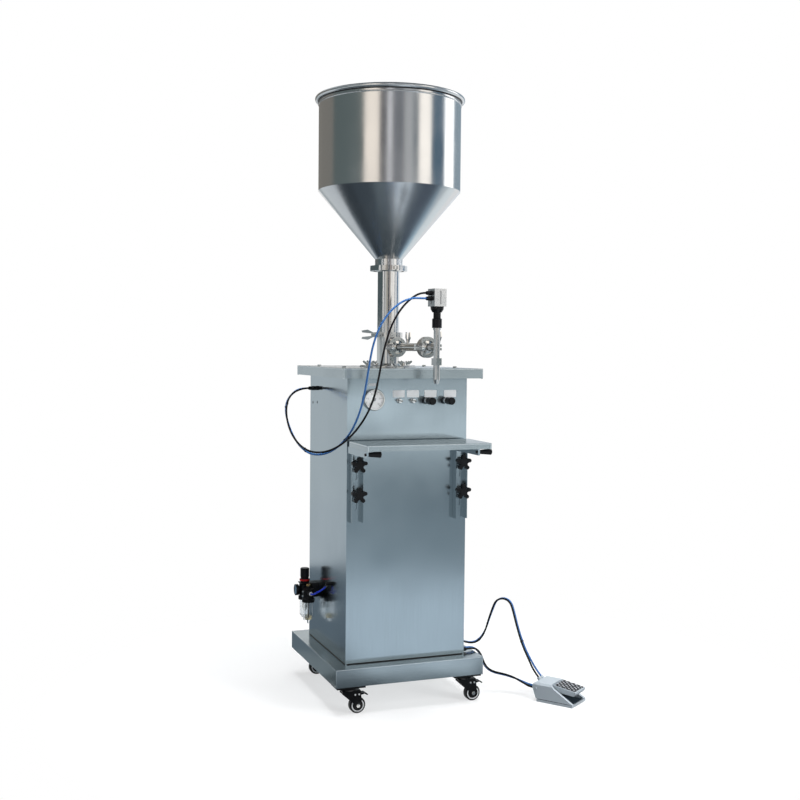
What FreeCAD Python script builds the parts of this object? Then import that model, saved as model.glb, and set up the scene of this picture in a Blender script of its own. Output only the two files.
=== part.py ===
import FreeCAD, Part
import Sketcher
import math
import os
import re

# Piston paste filling machine, in millimetres, +Z up, standing on the floor at Z = 0.
# The machine is drawn about the middle of its cabinet front (X = 0, Y = 0, back along +Y)
# and every sub-part is then moved by stand_x and stand_y to the middle of the whole footprint.

SIZES = {
    # place of the cabinet in the frame of the whole part
    "stand_x": -145.392,
    "stand_y": -127.466,
    # casters
    "wheel_radius": 25.0,
    "wheel_wide": 20.0,
    "caster_tall": 89.0,
    "caster_plate_wide": 90.0,
    "caster_plate_deep": 60.0,
    "caster_plate_thick": 6.0,
    "caster_trail": 27.0,
    "caster_inset_x": 50.0,
    "caster_inset_y": 33.0,
    "fork_thick": 2.5,
    "axle_radius": 4.0,
    "brake_long": 34.0,
    "brake_pin": 1.6,
    "king_radius": 5.0,
    # base box under the cabinet
    "base_wide": 480.0,
    "base_deep": 497.0,
    "base_front": 48.0,
    "base_tall": 55.0,
    "base_sheet": 2.0,
    # cabinet
    "cabinet_wide": 390.0,
    "cabinet_deep": 395.0,
    "cabinet_tall": 895.0,
    "cabinet_sheet": 2.0,
    "door_lip": 22.0,
    "door_gap": 2.0,
    "door_turn": 3.0,
    "hinge_radius": 5.0,
    "hinge_pin_radius": 2.5,
    "hinge_long": 50.0,
    "hinge_low": 120.0,
    "latch_radius": 13.0,
    # table cap
    "table_wide": 450.0,
    "table_deep": 504.0,
    "table_front": 53.0,
    "table_tall": 30.0,
    "table_sheet": 2.0,
    # filling line: hopper, feed tube and valve body stand on one axis
    "line_y": 184.0,
    "flange_radius": 90.0,
    "bolt_ring": 78.0,
    "screw_x": 184.0,
    "screw_front": 70.0,
    "screw_back": 331.0,
    "flange_thick": 6.0,
    "body_radius": 35.0,
    "body_bore": 31.0,
    "body_tall": 95.5,
    "ferrule_thick": 3.0,
    "ferrule_bevel": 4.0,
    "gasket_thick": 2.0,
    "valve_ferrule": 39.6,
    "nut_long": 48.0,
    "grip_nut_long": 64.0,
    "hopper_ferrule": 53.0,
    "feed_tall": 210.5,
    "pipe_wall": 2.0,
    "clamp_wall": 6.5,
    "clamp_wrap": 2.2,
    "clamp_split": 3.0,
    "neck_radius": 44.0,
    "neck_tall": 21.0,
    "cone_tall": 213.0,
    "hopper_radius": 225.0,
    "hopper_tall": 286.0,
    "hopper_wall": 2.0,
    "rim_radius": 6.5,
    # outlet pipe and shut off nozzle
    "pipe_swing": 7.35,
    "pipe_rise": 64.0,
    "pipe_radius": 12.0,
    "pipe_bore": 10.0,
    "outlet_ferrule": 25.2,
    "outlet_near": 59.0,
    "outlet_far": 253.0,
    "nozzle_reach": 312.6,
    "nozzle_radius": 9.5,
    "nozzle_bore": 7.0,
    "nozzle_top": 1162.0,
    "hex_across": 30.0,
    "hex_low": 1052.0,
    "hex_tall": 21.0,
    "tip_top": 1015.0,
    "tip_tall": 18.0,
    "tip_radius": 10.0,
    "tip_bore": 5.0,
    "gland_radius": 14.5,
    "gland_tall": 28.0,
    "neck_thin": 11.0,
    "neck_thin_tall": 18.0,
    "adapter_tall": 17.0,
    "cylinder_side": 40.0,
    "cylinder_tall": 52.0,
    "slot_wide": 5.0,
    "slot_deep": 3.0,
    "plunger_radius": 4.0,
    "plunger_stroke": 20.0,
    # piston and drive under the table
    "barrel_radius": 50.0,
    "barrel_bore": 45.0,
    "barrel_tall": 215.0,
    "piston_thick": 30.0,
    "piston_low": 25.0,
    "stroke": 150.0,
    "rod_radius": 10.0,
    "drive_radius": 40.0,
    "drive_bore": 31.5,
    "drive_top": 707.0,
    "drive_tall": 240.0,
    "drive_cap": 20.0,
    "tie_radius": 6.0,
    "tie_spread": 62.0,
    "running_gap": 0.08,
    # front panel fittings
    "gauge_x": -112.0,
    "gauge_z": 946.0,
    "gauge_radius": 33.0,
    "gauge_out": 14.0,
    "gauge_bezel": 4.0,
    "needle_long": 22.0,
    "control_z": 942.0,
    "switch_left": -30.0,
    "switch_right": 14.0,
    "speed_left": 62.0,
    "speed_right": 125.0,
    "bush_radius": 8.0,
    "bush_long": 14.0,
    "speed_radius": 11.5,
    "speed_long": 36.0,
    # work tray and its brackets
    "tray_wide": 388.0,
    "tray_deep": 167.0,
    "tray_back": 20.0,
    "tray_low": 806.0,
    "tray_tall": 17.5,
    "tray_sheet": 2.0,
    "tray_lip": 16.0,
    "rail_left": -168.0,
    "rail_pitch": 338.0,
    "rail_wide": 38.0,
    "rail_deep": 26.0,
    "rail_low": 577.0,
    "rail_sheet": 2.5,
    "rail_gap": 0.6,
    "rail_slot": 9.0,
    "slot_up": 15.0,
    "slot_down": 47.0,
    "arm_thick": 6.0,
    "arm_tall": 19.0,
    "arm_front": 175.0,
    "arm_gap": 0.4,
    "star_high": 752.0,
    "star_low": 662.0,
    "star_radius": 25.0,
    "star_lobe": 6.0,
    "star_hub": 12.0,
    "star_thick": 14.0,
    "star_out": 31.0,
    "stud_radius": 4.0,
    "lock_long": 38.0,
    "lock_root": 6.0,
    "lock_end": 9.5,
    "lock_inset": 8.0,
    # air preparation unit on the left side
    "air_out": 36.0,
    "air_back": 69.0,
    "air_pitch": 44.0,
    "air_z": 279.0,
    "air_body_radius": 18.0,
    "air_body_tall": 50.0,
    "air_knob_radius": 14.5,
    "air_knob_tall": 42.0,
    "elbow_turn": 33.0,
    "air_bowl_radius": 15.5,
    "air_bowl_tall": 58.0,
    "air_gauge_radius": 18.0,
    # push in fittings and hoses
    "fitting_radius": 6.0,
    "fitting_long": 18.0,
    "hose_radius": 3.0,
    "port_tall": 153.0,
    # foot valve
    "foot_x": 442.8,
    "foot_y": -68.4,
    "foot_turn": 35.7,
    "foot_wide": 98.0,
    "foot_top_wide": 88.0,
    "foot_long": 122.0,
    "foot_tall": 58.0,
    "foot_plate": 8.0,
    "foot_seam": 1.6,
    "foot_wall": 6.0,
    "foot_roof": 6.0,
    "foot_cover": 46.0,
    "pedal_wide": 70.0,
    "pedal_pin_back": 30.0,
    "pedal_pin_z": 42.0,
    "pedal_pin_radius": 3.0,
}

doc = FreeCAD.newDocument("filling_machine")
sheet = doc.addObject("Spreadsheet::Sheet", "sizes")
for row, (alias, size) in enumerate(SIZES.items(), start=1):
    sheet.set("A%d" % row, alias)
    sheet.set("B%d" % row, str(size))
    sheet.setAlias("B%d" % row, alias)
doc.recompute()

ALONG = {
    "x": FreeCAD.Rotation(FreeCAD.Vector(0, 1, 0), 90),
    "-x": FreeCAD.Rotation(FreeCAD.Vector(0, 1, 0), -90),
    "y": FreeCAD.Rotation(FreeCAD.Vector(1, 0, 0), -90),
    "-y": FreeCAD.Rotation(FreeCAD.Vector(1, 0, 0), 90),
    "z": FreeCAD.Rotation(),
    "-z": FreeCAD.Rotation(FreeCAD.Vector(1, 0, 0), 180),
}
spots = {}
nodes = []


def bound(formula):
    """Write a formula of plain size names as references to the sheet."""
    return re.sub(r"[a-z][a-z_]*[a-z]", lambda w: "sizes." + w[0] if w[0] in SIZES else w[0], str(formula))


def tie(thing, prop, formula):
    thing.setExpression(prop, bound(formula))


def place(thing, at, along="z"):
    """Put an object at three formulas, with its own Z axis along the named direction."""
    spots[thing.Name] = at
    thing.Placement = FreeCAD.Placement(FreeCAD.Vector(), ALONG[along])
    for letter, formula in zip("xyz", at):
        tie(thing, "Placement.Base." + letter, formula)
    return thing


def box(name, x, y, z):
    """A block between two formulas along each direction."""
    thing = doc.addObject("Part::Box", name)
    for prop, (low, high) in zip(("Length", "Width", "Height"), (x, y, z)):
        tie(thing, prop, "(%s) - (%s)" % (high, low))
    return place(thing, (x[0], y[0], z[0]))


def rod(name, radius, length, at, along="z"):
    thing = doc.addObject("Part::Cylinder", name)
    tie(thing, "Radius", radius)
    tie(thing, "Height", length)
    return place(thing, at, along)


def cone(name, radius, end_radius, length, at, along="z"):
    thing = doc.addObject("Part::Cone", name)
    tie(thing, "Radius1", radius)
    tie(thing, "Radius2", end_radius)
    tie(thing, "Height", length)
    return place(thing, at, along)


def prism(name, sides, circumradius, length, at, along="z"):
    thing = doc.addObject("Part::Prism", name)
    thing.Polygon = sides
    tie(thing, "Circumradius", circumradius)
    tie(thing, "Height", length)
    return place(thing, at, along)


def ring(name, radius, wire_radius, at):
    thing = doc.addObject("Part::Torus", name)
    tie(thing, "Radius1", radius)
    tie(thing, "Radius2", wire_radius)
    return place(thing, at)


def fuse(name, *parts):
    thing = doc.addObject("Part::MultiFuse", name)
    thing.Shapes = list(parts)
    return thing


def cut(name, base, *tools):
    thing = doc.addObject("Part::Cut", name)
    thing.Base = base
    thing.Tool = tools[0] if len(tools) == 1 else fuse(name + "_tools", *tools)
    return thing


def common(name, first, second):
    thing = doc.addObject("Part::Common", name)
    thing.Base = first
    thing.Tool = second
    return thing


def group(name, *parts):
    """Separate solids kept side by side in one sub-part."""
    thing = doc.addObject("Part::Compound", name)
    thing.Links = list(parts)
    return thing


def outline(body, plane, points):
    """A closed sketch of straight lines, each corner held by two formulas."""
    sketch = body.newObject("Sketcher::SketchObject", body.Name + "_outline")
    side = next(f for f in body.Origin.OriginFeatures if f.Role == plane)
    sketch.AttachmentSupport = [(side, "")]
    sketch.MapMode = "FlatFace"
    count = len(points)
    step = 2 * math.pi / count
    ring = [(300 + 200 * math.cos(step * k), 200 * math.sin(step * k)) for k in range(count)]
    start = [FreeCAD.Vector(x, y, 0) for x, y in ring]
    for k in range(count):
        sketch.addGeometry(Part.LineSegment(start[k], start[(k + 1) % count]), False)
    for k in range(count):
        sketch.addConstraint(Sketcher.Constraint("Coincident", k, 2, (k + 1) % count, 1))
    for k, corner in enumerate(points):
        for kind, first, formula in zip(("DistanceX", "DistanceY"), (start[k].x, start[k].y), corner):
            held = sketch.addConstraint(Sketcher.Constraint(kind, -1, 1, k, 1, first))
            tie(sketch, "Constraints[%d]" % held, formula)
    return sketch


def turned(name, points, at=("0", "0", "0"), along="z"):
    """A body turned about its own Z axis from corners given as radius and height."""
    body = doc.addObject("PartDesign::Body", name)
    sketch = outline(body, "XZ_Plane", points)
    turn = body.newObject("PartDesign::Revolution", name + "_turn")
    turn.Profile = sketch
    turn.ReferenceAxis = (sketch, ["V_Axis"])
    turn.Angle = 360
    return place(body, at, along)


def pressed(name, points, wide, plane="YZ_Plane", at=("0", "0", "0"), along="z"):
    """A body of one outline padded evenly to both sides of its plane."""
    body = doc.addObject("PartDesign::Body", name)
    sketch = outline(body, plane, points)
    pad = body.newObject("PartDesign::Pad", name + "_pad")
    pad.Profile = sketch
    pad.SideType = "Symmetric"
    tie(pad, "Length", wide)
    return place(body, at, along)


def node(thing, label, at=None, turn=None):
    """Name a sub-part and move it with the whole machine."""
    x, y, z = at or spots.get(thing.Name, ("0", "0", "0"))
    if turn:
        thing.Placement = FreeCAD.Placement(FreeCAD.Vector(), FreeCAD.Rotation(FreeCAD.Vector(0, 0, 1), 1))
        tie(thing, "Placement.Rotation.Angle", turn)
    tie(thing, "Placement.Base.x", "(%s) + stand_x" % x)
    tie(thing, "Placement.Base.y", "(%s) + stand_y" % y)
    tie(thing, "Placement.Base.z", z)
    thing.Label = label
    nodes.append(thing)
    return thing


# The base is a welded box of sheet, wider and deeper than the cabinet.
BASE_X = ("-base_wide / 2", "base_wide / 2")
BASE_Y = ("-base_front", "base_deep - base_front")
BASE_Z = ("caster_tall", "caster_tall + base_tall")
base_hollow = box(
    "base_hollow",
    ("-base_wide / 2 + base_sheet", "base_wide / 2 - base_sheet"),
    ("-base_front + base_sheet", "base_deep - base_front - base_sheet"),
    ("caster_tall + base_sheet", "caster_tall + base_tall - base_sheet"),
)
node(cut("base", box("base_block", BASE_X, BASE_Y, BASE_Z), base_hollow), "base_box")

# The cabinet is one folded sheet, open at the back behind a turned lip,
# with welded studs for the tray brackets and hinge knuckles for the door.
FOOT = "caster_tall + base_tall"
HEAD = "caster_tall + base_tall + cabinet_tall"
SIDE = "cabinet_wide / 2"
BACK = "cabinet_deep"
cabinet_block = box("cabinet_block", ("-" + SIDE, SIDE), ("0", BACK), (FOOT, HEAD))
cabinet_inside = box(
    "cabinet_inside",
    ("-cabinet_wide / 2 + cabinet_sheet", "cabinet_wide / 2 - cabinet_sheet"),
    ("cabinet_sheet", "cabinet_deep - cabinet_sheet"),
    (FOOT + " + cabinet_sheet", HEAD + " + 1"),
)
doorway = box(
    "doorway",
    ("-cabinet_wide / 2 + door_lip", "cabinet_wide / 2 - door_lip"),
    ("cabinet_deep - 2 * cabinet_sheet", "cabinet_deep + 1"),
    (FOOT + " + door_lip", HEAD + " - door_lip - table_tall"),
)
panel_holes = [rod("gauge_hole", "gauge_radius - gauge_bezel - 1", "20", ("gauge_x", "-10", "gauge_z"), "y")]
for spot in ("switch_left", "switch_right", "speed_left", "speed_right"):
    panel_holes.append(rod("hole_" + spot, "bush_radius / 2 + 0.2", "20", (spot, "-10", "control_z"), "y"))
LEFT_HOSES = {"black": ("cabinet_deep - 81", "970"), "blue": ("cabinet_deep - 37", "968")}
SPARE_HOLES = {"spare_front": ("cabinet_deep - 79", "924"), "spare_rear": ("cabinet_deep - 30", "921")}
for name, (y, z) in {**LEFT_HOSES, **SPARE_HOLES}.items():
    at = ("-cabinet_wide / 2 - 10", y, z)
    panel_holes.append(rod("side_hole_" + name, "fitting_radius - 1.5", "20", at, "x"))
open_shell = cut("open_shell", cabinet_block, cabinet_inside, doorway, *panel_holes)
studs = []
STARS = {}
for side, shift in (("left", "0"), ("right", "rail_pitch")):
    for level in ("high", "low"):
        STARS["%s_%s" % (side, level)] = ("rail_left + " + shift, "star_" + level)
for name, (x, z) in STARS.items():
    stud_long = "star_out + star_thick - 4"
    studs.append(rod("stud_" + name, "stud_radius", stud_long, (x, "0", z), "-y"))
HINGE_X = "cabinet_wide / 2 + hinge_radius + 0.5"
HINGE_Y = "cabinet_deep + door_gap"
HINGES = {"low": FOOT + " + hinge_low", "high": HEAD + " - table_tall - hinge_low - hinge_long"}
knuckles = []
for name, low in HINGES.items():
    barrel = rod("knuckle_" + name, "hinge_radius", "hinge_long / 2", (HINGE_X, HINGE_Y, low))
    leaf = box(
        "hinge_leaf_" + name,
        ("cabinet_wide / 2", "cabinet_wide / 2 + 3"),
        ("cabinet_deep - 20", HINGE_Y),
        (low, low + " + hinge_long / 2"),
    )
    pin = rod("hinge_pin_" + name, "hinge_pin_radius", "hinge_long - 2", (HINGE_X, HINGE_Y, low))
    knuckles += [barrel, leaf, pin]
node(fuse("cabinet", open_shell, *studs, *knuckles), "cabinet_shell")

# The rear door is a shallow tray of sheet that hangs on the two lift off hinges.
DOOR_Z = (FOOT + " + 4", HEAD + " - table_tall - 4")
DOOR_X = ("-cabinet_wide / 2 + 1", SIDE + " - 1")
door_sheet = box("door_sheet", DOOR_X, (BACK + " + 0.5", BACK + " + 2.5"), DOOR_Z)
door_parts = [door_sheet]
DOOR_RIB_X = "cabinet_wide / 2 - door_lip - 4"
ribs = box(
    "door_rim",
    ("-%s" % DOOR_RIB_X.replace(" - ", " + "), DOOR_RIB_X),
    (BACK + " - 12", BACK + " + 1"),
    (FOOT + " + door_lip + 4", HEAD + " - door_lip - table_tall - 4"),
)
rim_hollow = box(
    "door_rim_hollow",
    ("-%s + 2" % DOOR_RIB_X.replace(" - ", " + "), DOOR_RIB_X + " - 2"),
    (BACK + " - 13", BACK + " + 0.5"),
    (FOOT + " + door_lip + 6", HEAD + " - door_lip - table_tall - 6"),
)
LATCH_X = "-cabinet_wide / 2 + door_lip + 22"
LATCH_Z = "(%s + %s) / 2" % (FOOT, HEAD)
latch_slot = box(
    "latch_slot",
    ("-%s - 3" % DOOR_RIB_X.replace(" - ", " + "), "-%s + 5" % DOOR_RIB_X.replace(" - ", " + ")),
    (BACK + " - 10.8", BACK + " - 6.2"),
    (LATCH_Z + " - 8", LATCH_Z + " + 42"),
)
door_parts.append(cut("door_rim_open", ribs, rim_hollow, latch_slot))
for name, low in HINGES.items():
    upper = low + " + hinge_long / 2 + 0.4"
    sleeve = rod("door_knuckle_" + name, "hinge_radius", "hinge_long / 2 - 0.4", (HINGE_X, HINGE_Y, upper))
    strap = box(
        "door_strap_" + name,
        ("cabinet_wide / 2 - 30", HINGE_X),
        (BACK + " + 0.5", BACK + " + 3.5"),
        (upper, low + " + hinge_long"),
    )
    bore = rod("door_bore_" + name, "hinge_pin_radius + running_gap", "hinge_long", (HINGE_X, HINGE_Y, low))
    door_parts.append(cut("door_hinge_" + name, fuse("door_hinge_solid_" + name, sleeve, strap), bore))
latch_hole = rod("latch_hole", "5 + running_gap", "40", (LATCH_X, BACK + " - 20", LATCH_Z), "y")
node(cut("door", fuse("door_solid", *door_parts), latch_hole), "rear_door")
latch_head = rod("latch_head", "latch_radius", "4", (LATCH_X, BACK + " + 2.8", LATCH_Z), "y")
latch_grip = box(
    "latch_grip",
    (LATCH_X + " - 3", LATCH_X + " + 3"),
    (BACK + " + 6", BACK + " + 16"),
    (LATCH_Z + " - latch_radius + 1", LATCH_Z + " + latch_radius - 1"),
)
latch_stem = rod("latch_stem", "5", "14.5", (LATCH_X, BACK + " - 10", LATCH_Z), "y")
latch_cam = box(
    "latch_cam",
    (LATCH_X + " - 32", LATCH_X + " + 6"),
    (BACK + " - 10", BACK + " - 7"),
    (LATCH_Z + " - 6", LATCH_Z + " + 6"),
)
node(fuse("latch", latch_head, latch_grip, latch_stem, latch_cam), "door_latch")

# The table cap is a folded sheet whose skirt hangs over the cabinet.
TABLE_TOP = HEAD + " + table_sheet"
TABLE_Y = ("-table_front", "table_deep - table_front")
table_block = box(
    "table_block", ("-table_wide / 2", "table_wide / 2"), TABLE_Y, (TABLE_TOP + " - table_tall", TABLE_TOP)
)
table_under = box(
    "table_under",
    ("-table_wide / 2 + table_sheet", "table_wide / 2 - table_sheet"),
    ("-table_front + table_sheet", "table_deep - table_front - table_sheet"),
    (TABLE_TOP + " - table_tall - 1", HEAD),
)
table_hole = rod("table_hole", "barrel_bore", "20", ("0", "line_y", HEAD + " - 10"))
node(cut("table", table_block, table_under, table_hole), "table_top")

# Metering barrel under the table, with its piston, and the air cylinder that drives it.
BARREL_LOW = HEAD + " - barrel_tall"
barrel = turned(
    "barrel",
    [
        ("barrel_bore", "-barrel_tall"),
        ("barrel_radius", "-barrel_tall"),
        ("barrel_radius", "-10"),
        ("barrel_radius + 22", "-10"),
        ("barrel_radius + 22", "0"),
        ("barrel_bore", "0"),
    ],
    ("0", "line_y", HEAD),
)
node(barrel, "metering_barrel")
PISTON_Z = BARREL_LOW + " + piston_low"
DRIVE_LOW = "drive_top - drive_tall"
ROD_LONG = "%s - (%s) - drive_cap - 10" % (PISTON_Z, DRIVE_LOW)
piston = turned(
    "piston",
    [
        ("0", "0"),
        ("barrel_bore - 2", "0"),
        ("barrel_bore - running_gap", "4"),
        ("barrel_bore - running_gap", "10"),
        ("barrel_bore - 2", "10"),
        ("barrel_bore - 2", "13"),
        ("barrel_bore - running_gap", "13"),
        ("barrel_bore - running_gap", "19"),
        ("barrel_bore - 2", "19"),
        ("barrel_bore - 2", "22"),
        ("barrel_bore - running_gap", "22"),
        ("barrel_bore - running_gap", "piston_thick - 3"),
        ("barrel_bore - 6", "piston_thick"),
        ("0", "piston_thick"),
    ],
    ("0", "line_y", PISTON_Z),
)
piston_rod = rod("piston_rod", "rod_radius", ROD_LONG, ("0", "line_y", DRIVE_LOW + " + drive_cap + 10"))
drive_piston = rod(
    "drive_piston", "drive_bore - running_gap", "16", ("0", "line_y", DRIVE_LOW + " + drive_cap + 2")
)
node(fuse("piston_set", piston, piston_rod, drive_piston), "piston_and_rod")
drive_tube = turned(
    "drive_tube",
    [
        ("0", "0"),
        ("drive_radius", "0"),
        ("drive_radius", "drive_tall"),
        ("rod_radius + running_gap", "drive_tall"),
        ("rod_radius + running_gap", "drive_tall - drive_cap"),
        ("drive_bore", "drive_tall - drive_cap"),
        ("drive_bore", "drive_cap"),
        ("0", "drive_cap"),
    ],
    ("0", "line_y", DRIVE_LOW),
)
mount_plate = box(
    "mount_plate",
    ("-tie_spread - 14", "tie_spread + 14"),
    ("line_y - tie_spread - 14", "line_y + tie_spread + 14"),
    ("drive_top", "drive_top + 10"),
)
plate_hole = rod("plate_hole", "rod_radius + running_gap", "30", ("0", "line_y", "drive_top - 10"))
tie_rods = []
for name, dx, dy in (("fl", "-", "-"), ("fr", "", "-"), ("bl", "-", ""), ("br", "", "")):
    spot = (dx + "tie_spread", "line_y + (%stie_spread)" % dy, "drive_top + 10")
    tie_rods.append(rod("tie_rod_" + name, "tie_radius", "%s - drive_top - 10" % HEAD, spot))
node(
    group("drive", drive_tube, cut("drive_plate", mount_plate, plate_hole), *tie_rods),
    "drive_cylinder",
)

# The valve body is turned from bar: a bolted flange, a tube and a bevelled ferrule on top.
# Its outlet stub points to the front, turned by pipe_swing, and carries a small ferrule.
valve_turned = turned(
    "valve_turned",
    [
        ("body_bore", "0"),
        ("flange_radius", "0"),
        ("flange_radius", "flange_thick - 2"),
        ("flange_radius - 2", "flange_thick"),
        ("body_radius + 6", "flange_thick"),
        ("body_radius", "flange_thick + 6"),
        ("body_radius", "body_tall + 3 - ferrule_bevel"),
        ("valve_ferrule", "body_tall + 3"),
        ("valve_ferrule", "body_tall + 3 + ferrule_thick"),
        ("body_bore", "body_tall + 3 + ferrule_thick"),
    ],
)


def outlet_shape(name, near, far, near_ferrule, far_ferrule):
    """Corners of a pipe along its own axis, with a bevelled ferrule at either end."""
    lead = [("pipe_bore", near)]
    if near_ferrule:
        lead += [
            ("outlet_ferrule", near),
            ("outlet_ferrule", near + " + ferrule_thick"),
            ("pipe_radius", near + " + ferrule_thick + ferrule_bevel"),
        ]
    else:
        lead += [("pipe_radius", near)]
    if far_ferrule:
        lead += [
            ("pipe_radius", far + " - ferrule_thick - ferrule_bevel"),
            ("outlet_ferrule", far + " - ferrule_thick"),
            ("outlet_ferrule", far),
        ]
    else:
        lead += [("pipe_radius", far)]
    return turned(name, lead + [("pipe_bore", far)], ("0", "0", "pipe_rise"), "-y")


JOINT_NEAR = "outlet_near - gasket_thick / 2"
JOINT_FAR = "outlet_far - gasket_thick / 2"
stub = outlet_shape("outlet_stub", "body_bore", JOINT_NEAR, False, True)
stub_bore = rod("stub_bore", "pipe_bore", "outlet_near", ("0", "0", "pipe_rise"), "-y")
valve_bore = rod("valve_bore", "body_bore", "body_tall + 40", ("0", "0", "-10"))
valve_solid = fuse("valve_solid", valve_turned, stub)
LINE_AT = ("0", "line_y", TABLE_TOP)
node(cut("valve", valve_solid, valve_bore, stub_bore), "valve_body", LINE_AT, "pipe_swing")

# Feed tube between the two clamped joints.
JOINT_LOW = "body_tall + 3 + ferrule_thick + gasket_thick / 2"
JOINT_HIGH = JOINT_LOW + " + feed_tall"
feed = turned(
    "feed",
    [
        ("body_radius - pipe_wall", "gasket_thick / 2"),
        ("valve_ferrule", "gasket_thick / 2"),
        ("valve_ferrule", "gasket_thick / 2 + ferrule_thick"),
        ("body_radius", "gasket_thick / 2 + ferrule_thick + ferrule_bevel"),
        ("body_radius", "feed_tall - gasket_thick / 2 - ferrule_thick - ferrule_bevel - 2"),
        ("hopper_ferrule", "feed_tall - gasket_thick / 2 - ferrule_thick"),
        ("hopper_ferrule", "feed_tall - gasket_thick / 2"),
        ("body_radius - pipe_wall", "feed_tall - gasket_thick / 2"),
    ],
    ("0", "line_y", TABLE_TOP + " + " + JOINT_LOW),
)
node(feed, "feed_tube")

# The hopper is spun sheet: ferrule, neck, cone and drum, with a wired rim.
FERRULE_END = "ferrule_thick + ferrule_bevel"
NECK_END = FERRULE_END + " + neck_tall"
CONE_END = NECK_END + " + cone_tall"
DRUM_END = CONE_END + " + hopper_tall"
hopper_shell = turned(
    "hopper_shell",
    [
        ("neck_radius - hopper_wall", "0"),
        ("hopper_ferrule", "0"),
        ("hopper_ferrule", "ferrule_thick"),
        ("neck_radius", FERRULE_END),
        ("neck_radius", NECK_END),
        ("hopper_radius", CONE_END),
        ("hopper_radius", DRUM_END),
        ("hopper_radius - hopper_wall", DRUM_END),
        ("hopper_radius - hopper_wall", CONE_END),
        ("neck_radius - hopper_wall", NECK_END),
    ],
)
rim = ring("hopper_rim", "hopper_radius + rim_radius - hopper_wall / 2", "rim_radius", ("0", "0", DRUM_END))
bead = ring("hopper_bead", "hopper_radius", "2.5", ("0", "0", DRUM_END + " - 16"))
HOPPER_Z = TABLE_TOP + " + %s + gasket_thick / 2" % JOINT_HIGH
node(fuse("hopper_set", hopper_shell, rim, bead), "hopper", ("0", "line_y", HOPPER_Z))


# A pipe clamp is two hinged half rings with an inner groove that draws two ferrules
# onto their gasket, closed by a swing bolt and a nut with two tall ears.
def nut_view(reach):
    """The two ears of a nut, spread from its hub and seen from the side."""
    half = [("14", "5"), (reach + " * 0.65", "16"), (reach, "13"), (reach + " - 3", "7"), ("26", "4")]
    return half + [(out, "-" + across) for out, across in reversed(half)]


def pipe_clamp(name, ferrule, at, along, spin, reach="nut_long"):
    half_grip = "gasket_thick / 2 + ferrule_thick"
    groove_end = half_grip + " + ferrule_bevel"
    inner = "%s - 4" % ferrule
    outer = "%s + clamp_wall" % ferrule
    slack = "0.25"
    band = turned(
        name + "_band",
        [
            (inner, "-(%s)" % groove_end),
            (outer, "-(%s)" % groove_end),
            (outer, groove_end),
            (inner, groove_end),
            ("%s + %s" % (ferrule, slack), half_grip + " + " + slack),
            ("%s + %s" % (ferrule, slack), "-(%s) - %s" % (half_grip, slack)),
        ],
    )
    lug_out = "%s + 16" % outer
    lug_z = ("-(%s) + 1" % groove_end, groove_end + " - 1")
    lug = box(name + "_lug", (outer + " - 3", lug_out), ("-9", "9"), lug_z)
    heel = box(name + "_heel", ("-(%s) - 9" % outer, "-(%s) + 3" % outer), ("-8", "8"), ("-5", "5"))
    split = box(
        name + "_split",
        ("-(%s) - 40" % outer, outer + " + 40"),
        ("-clamp_split / 2", "clamp_split / 2"),
        ("-30", "30"),
    )
    bolt_x = outer + " + 9"
    bolt_hole = rod(name + "_bolt_hole", "3.3", "60", (bolt_x, "-30", "0"), "y")
    halves = cut(name + "_halves", fuse(name + "_ring", band, lug, heel), split, bolt_hole)
    bolt = rod(name + "_bolt", "3", "34", (bolt_x, "-12", "0"), "y")
    head = rod(name + "_head", "5", "3", (bolt_x, "-12", "0"), "y")
    hub = cone(name + "_nut_hub", "6.5", "4.5", "16", (bolt_x, "9.2", "0"), "y")
    wings = pressed(name + "_wings", nut_view(reach), "3.5", "YZ_Plane", (bolt_x, "0", "0"))
    nut = fuse(name + "_nut", bolt, head, hub, wings)
    whole = group(name, halves, nut)
    spun = group(name + "_spun", whole)
    whole.Placement = FreeCAD.Placement(FreeCAD.Vector(), FreeCAD.Rotation(FreeCAD.Vector(0, 0, 1), spin))
    return place(spun, at, along)


line_clamps = group(
    "line_clamps",
    pipe_clamp("valve_clamp", "valve_ferrule", ("0", "0", JOINT_LOW), "-z", 151, "grip_nut_long"),
    pipe_clamp("hopper_clamp", "hopper_ferrule", ("0", "0", JOINT_HIGH), "-z", -85),
    pipe_clamp("outlet_clamp_near", "outlet_ferrule", ("0", "-outlet_near", "pipe_rise"), "-y", 0),
    pipe_clamp("outlet_clamp_far", "outlet_ferrule", ("0", "-outlet_far", "pipe_rise"), "-y", 0),
)
node(line_clamps, "pipe_clamps", LINE_AT, "pipe_swing")

# Outlet pipe from the valve body to the shut off nozzle.
PIPE_NEAR = "outlet_near + gasket_thick / 2"
outlet = group("outlet_line", outlet_shape("outlet", PIPE_NEAR, JOINT_FAR, True, True))
node(outlet, "outlet_pipe", LINE_AT, "pipe_swing")

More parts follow.
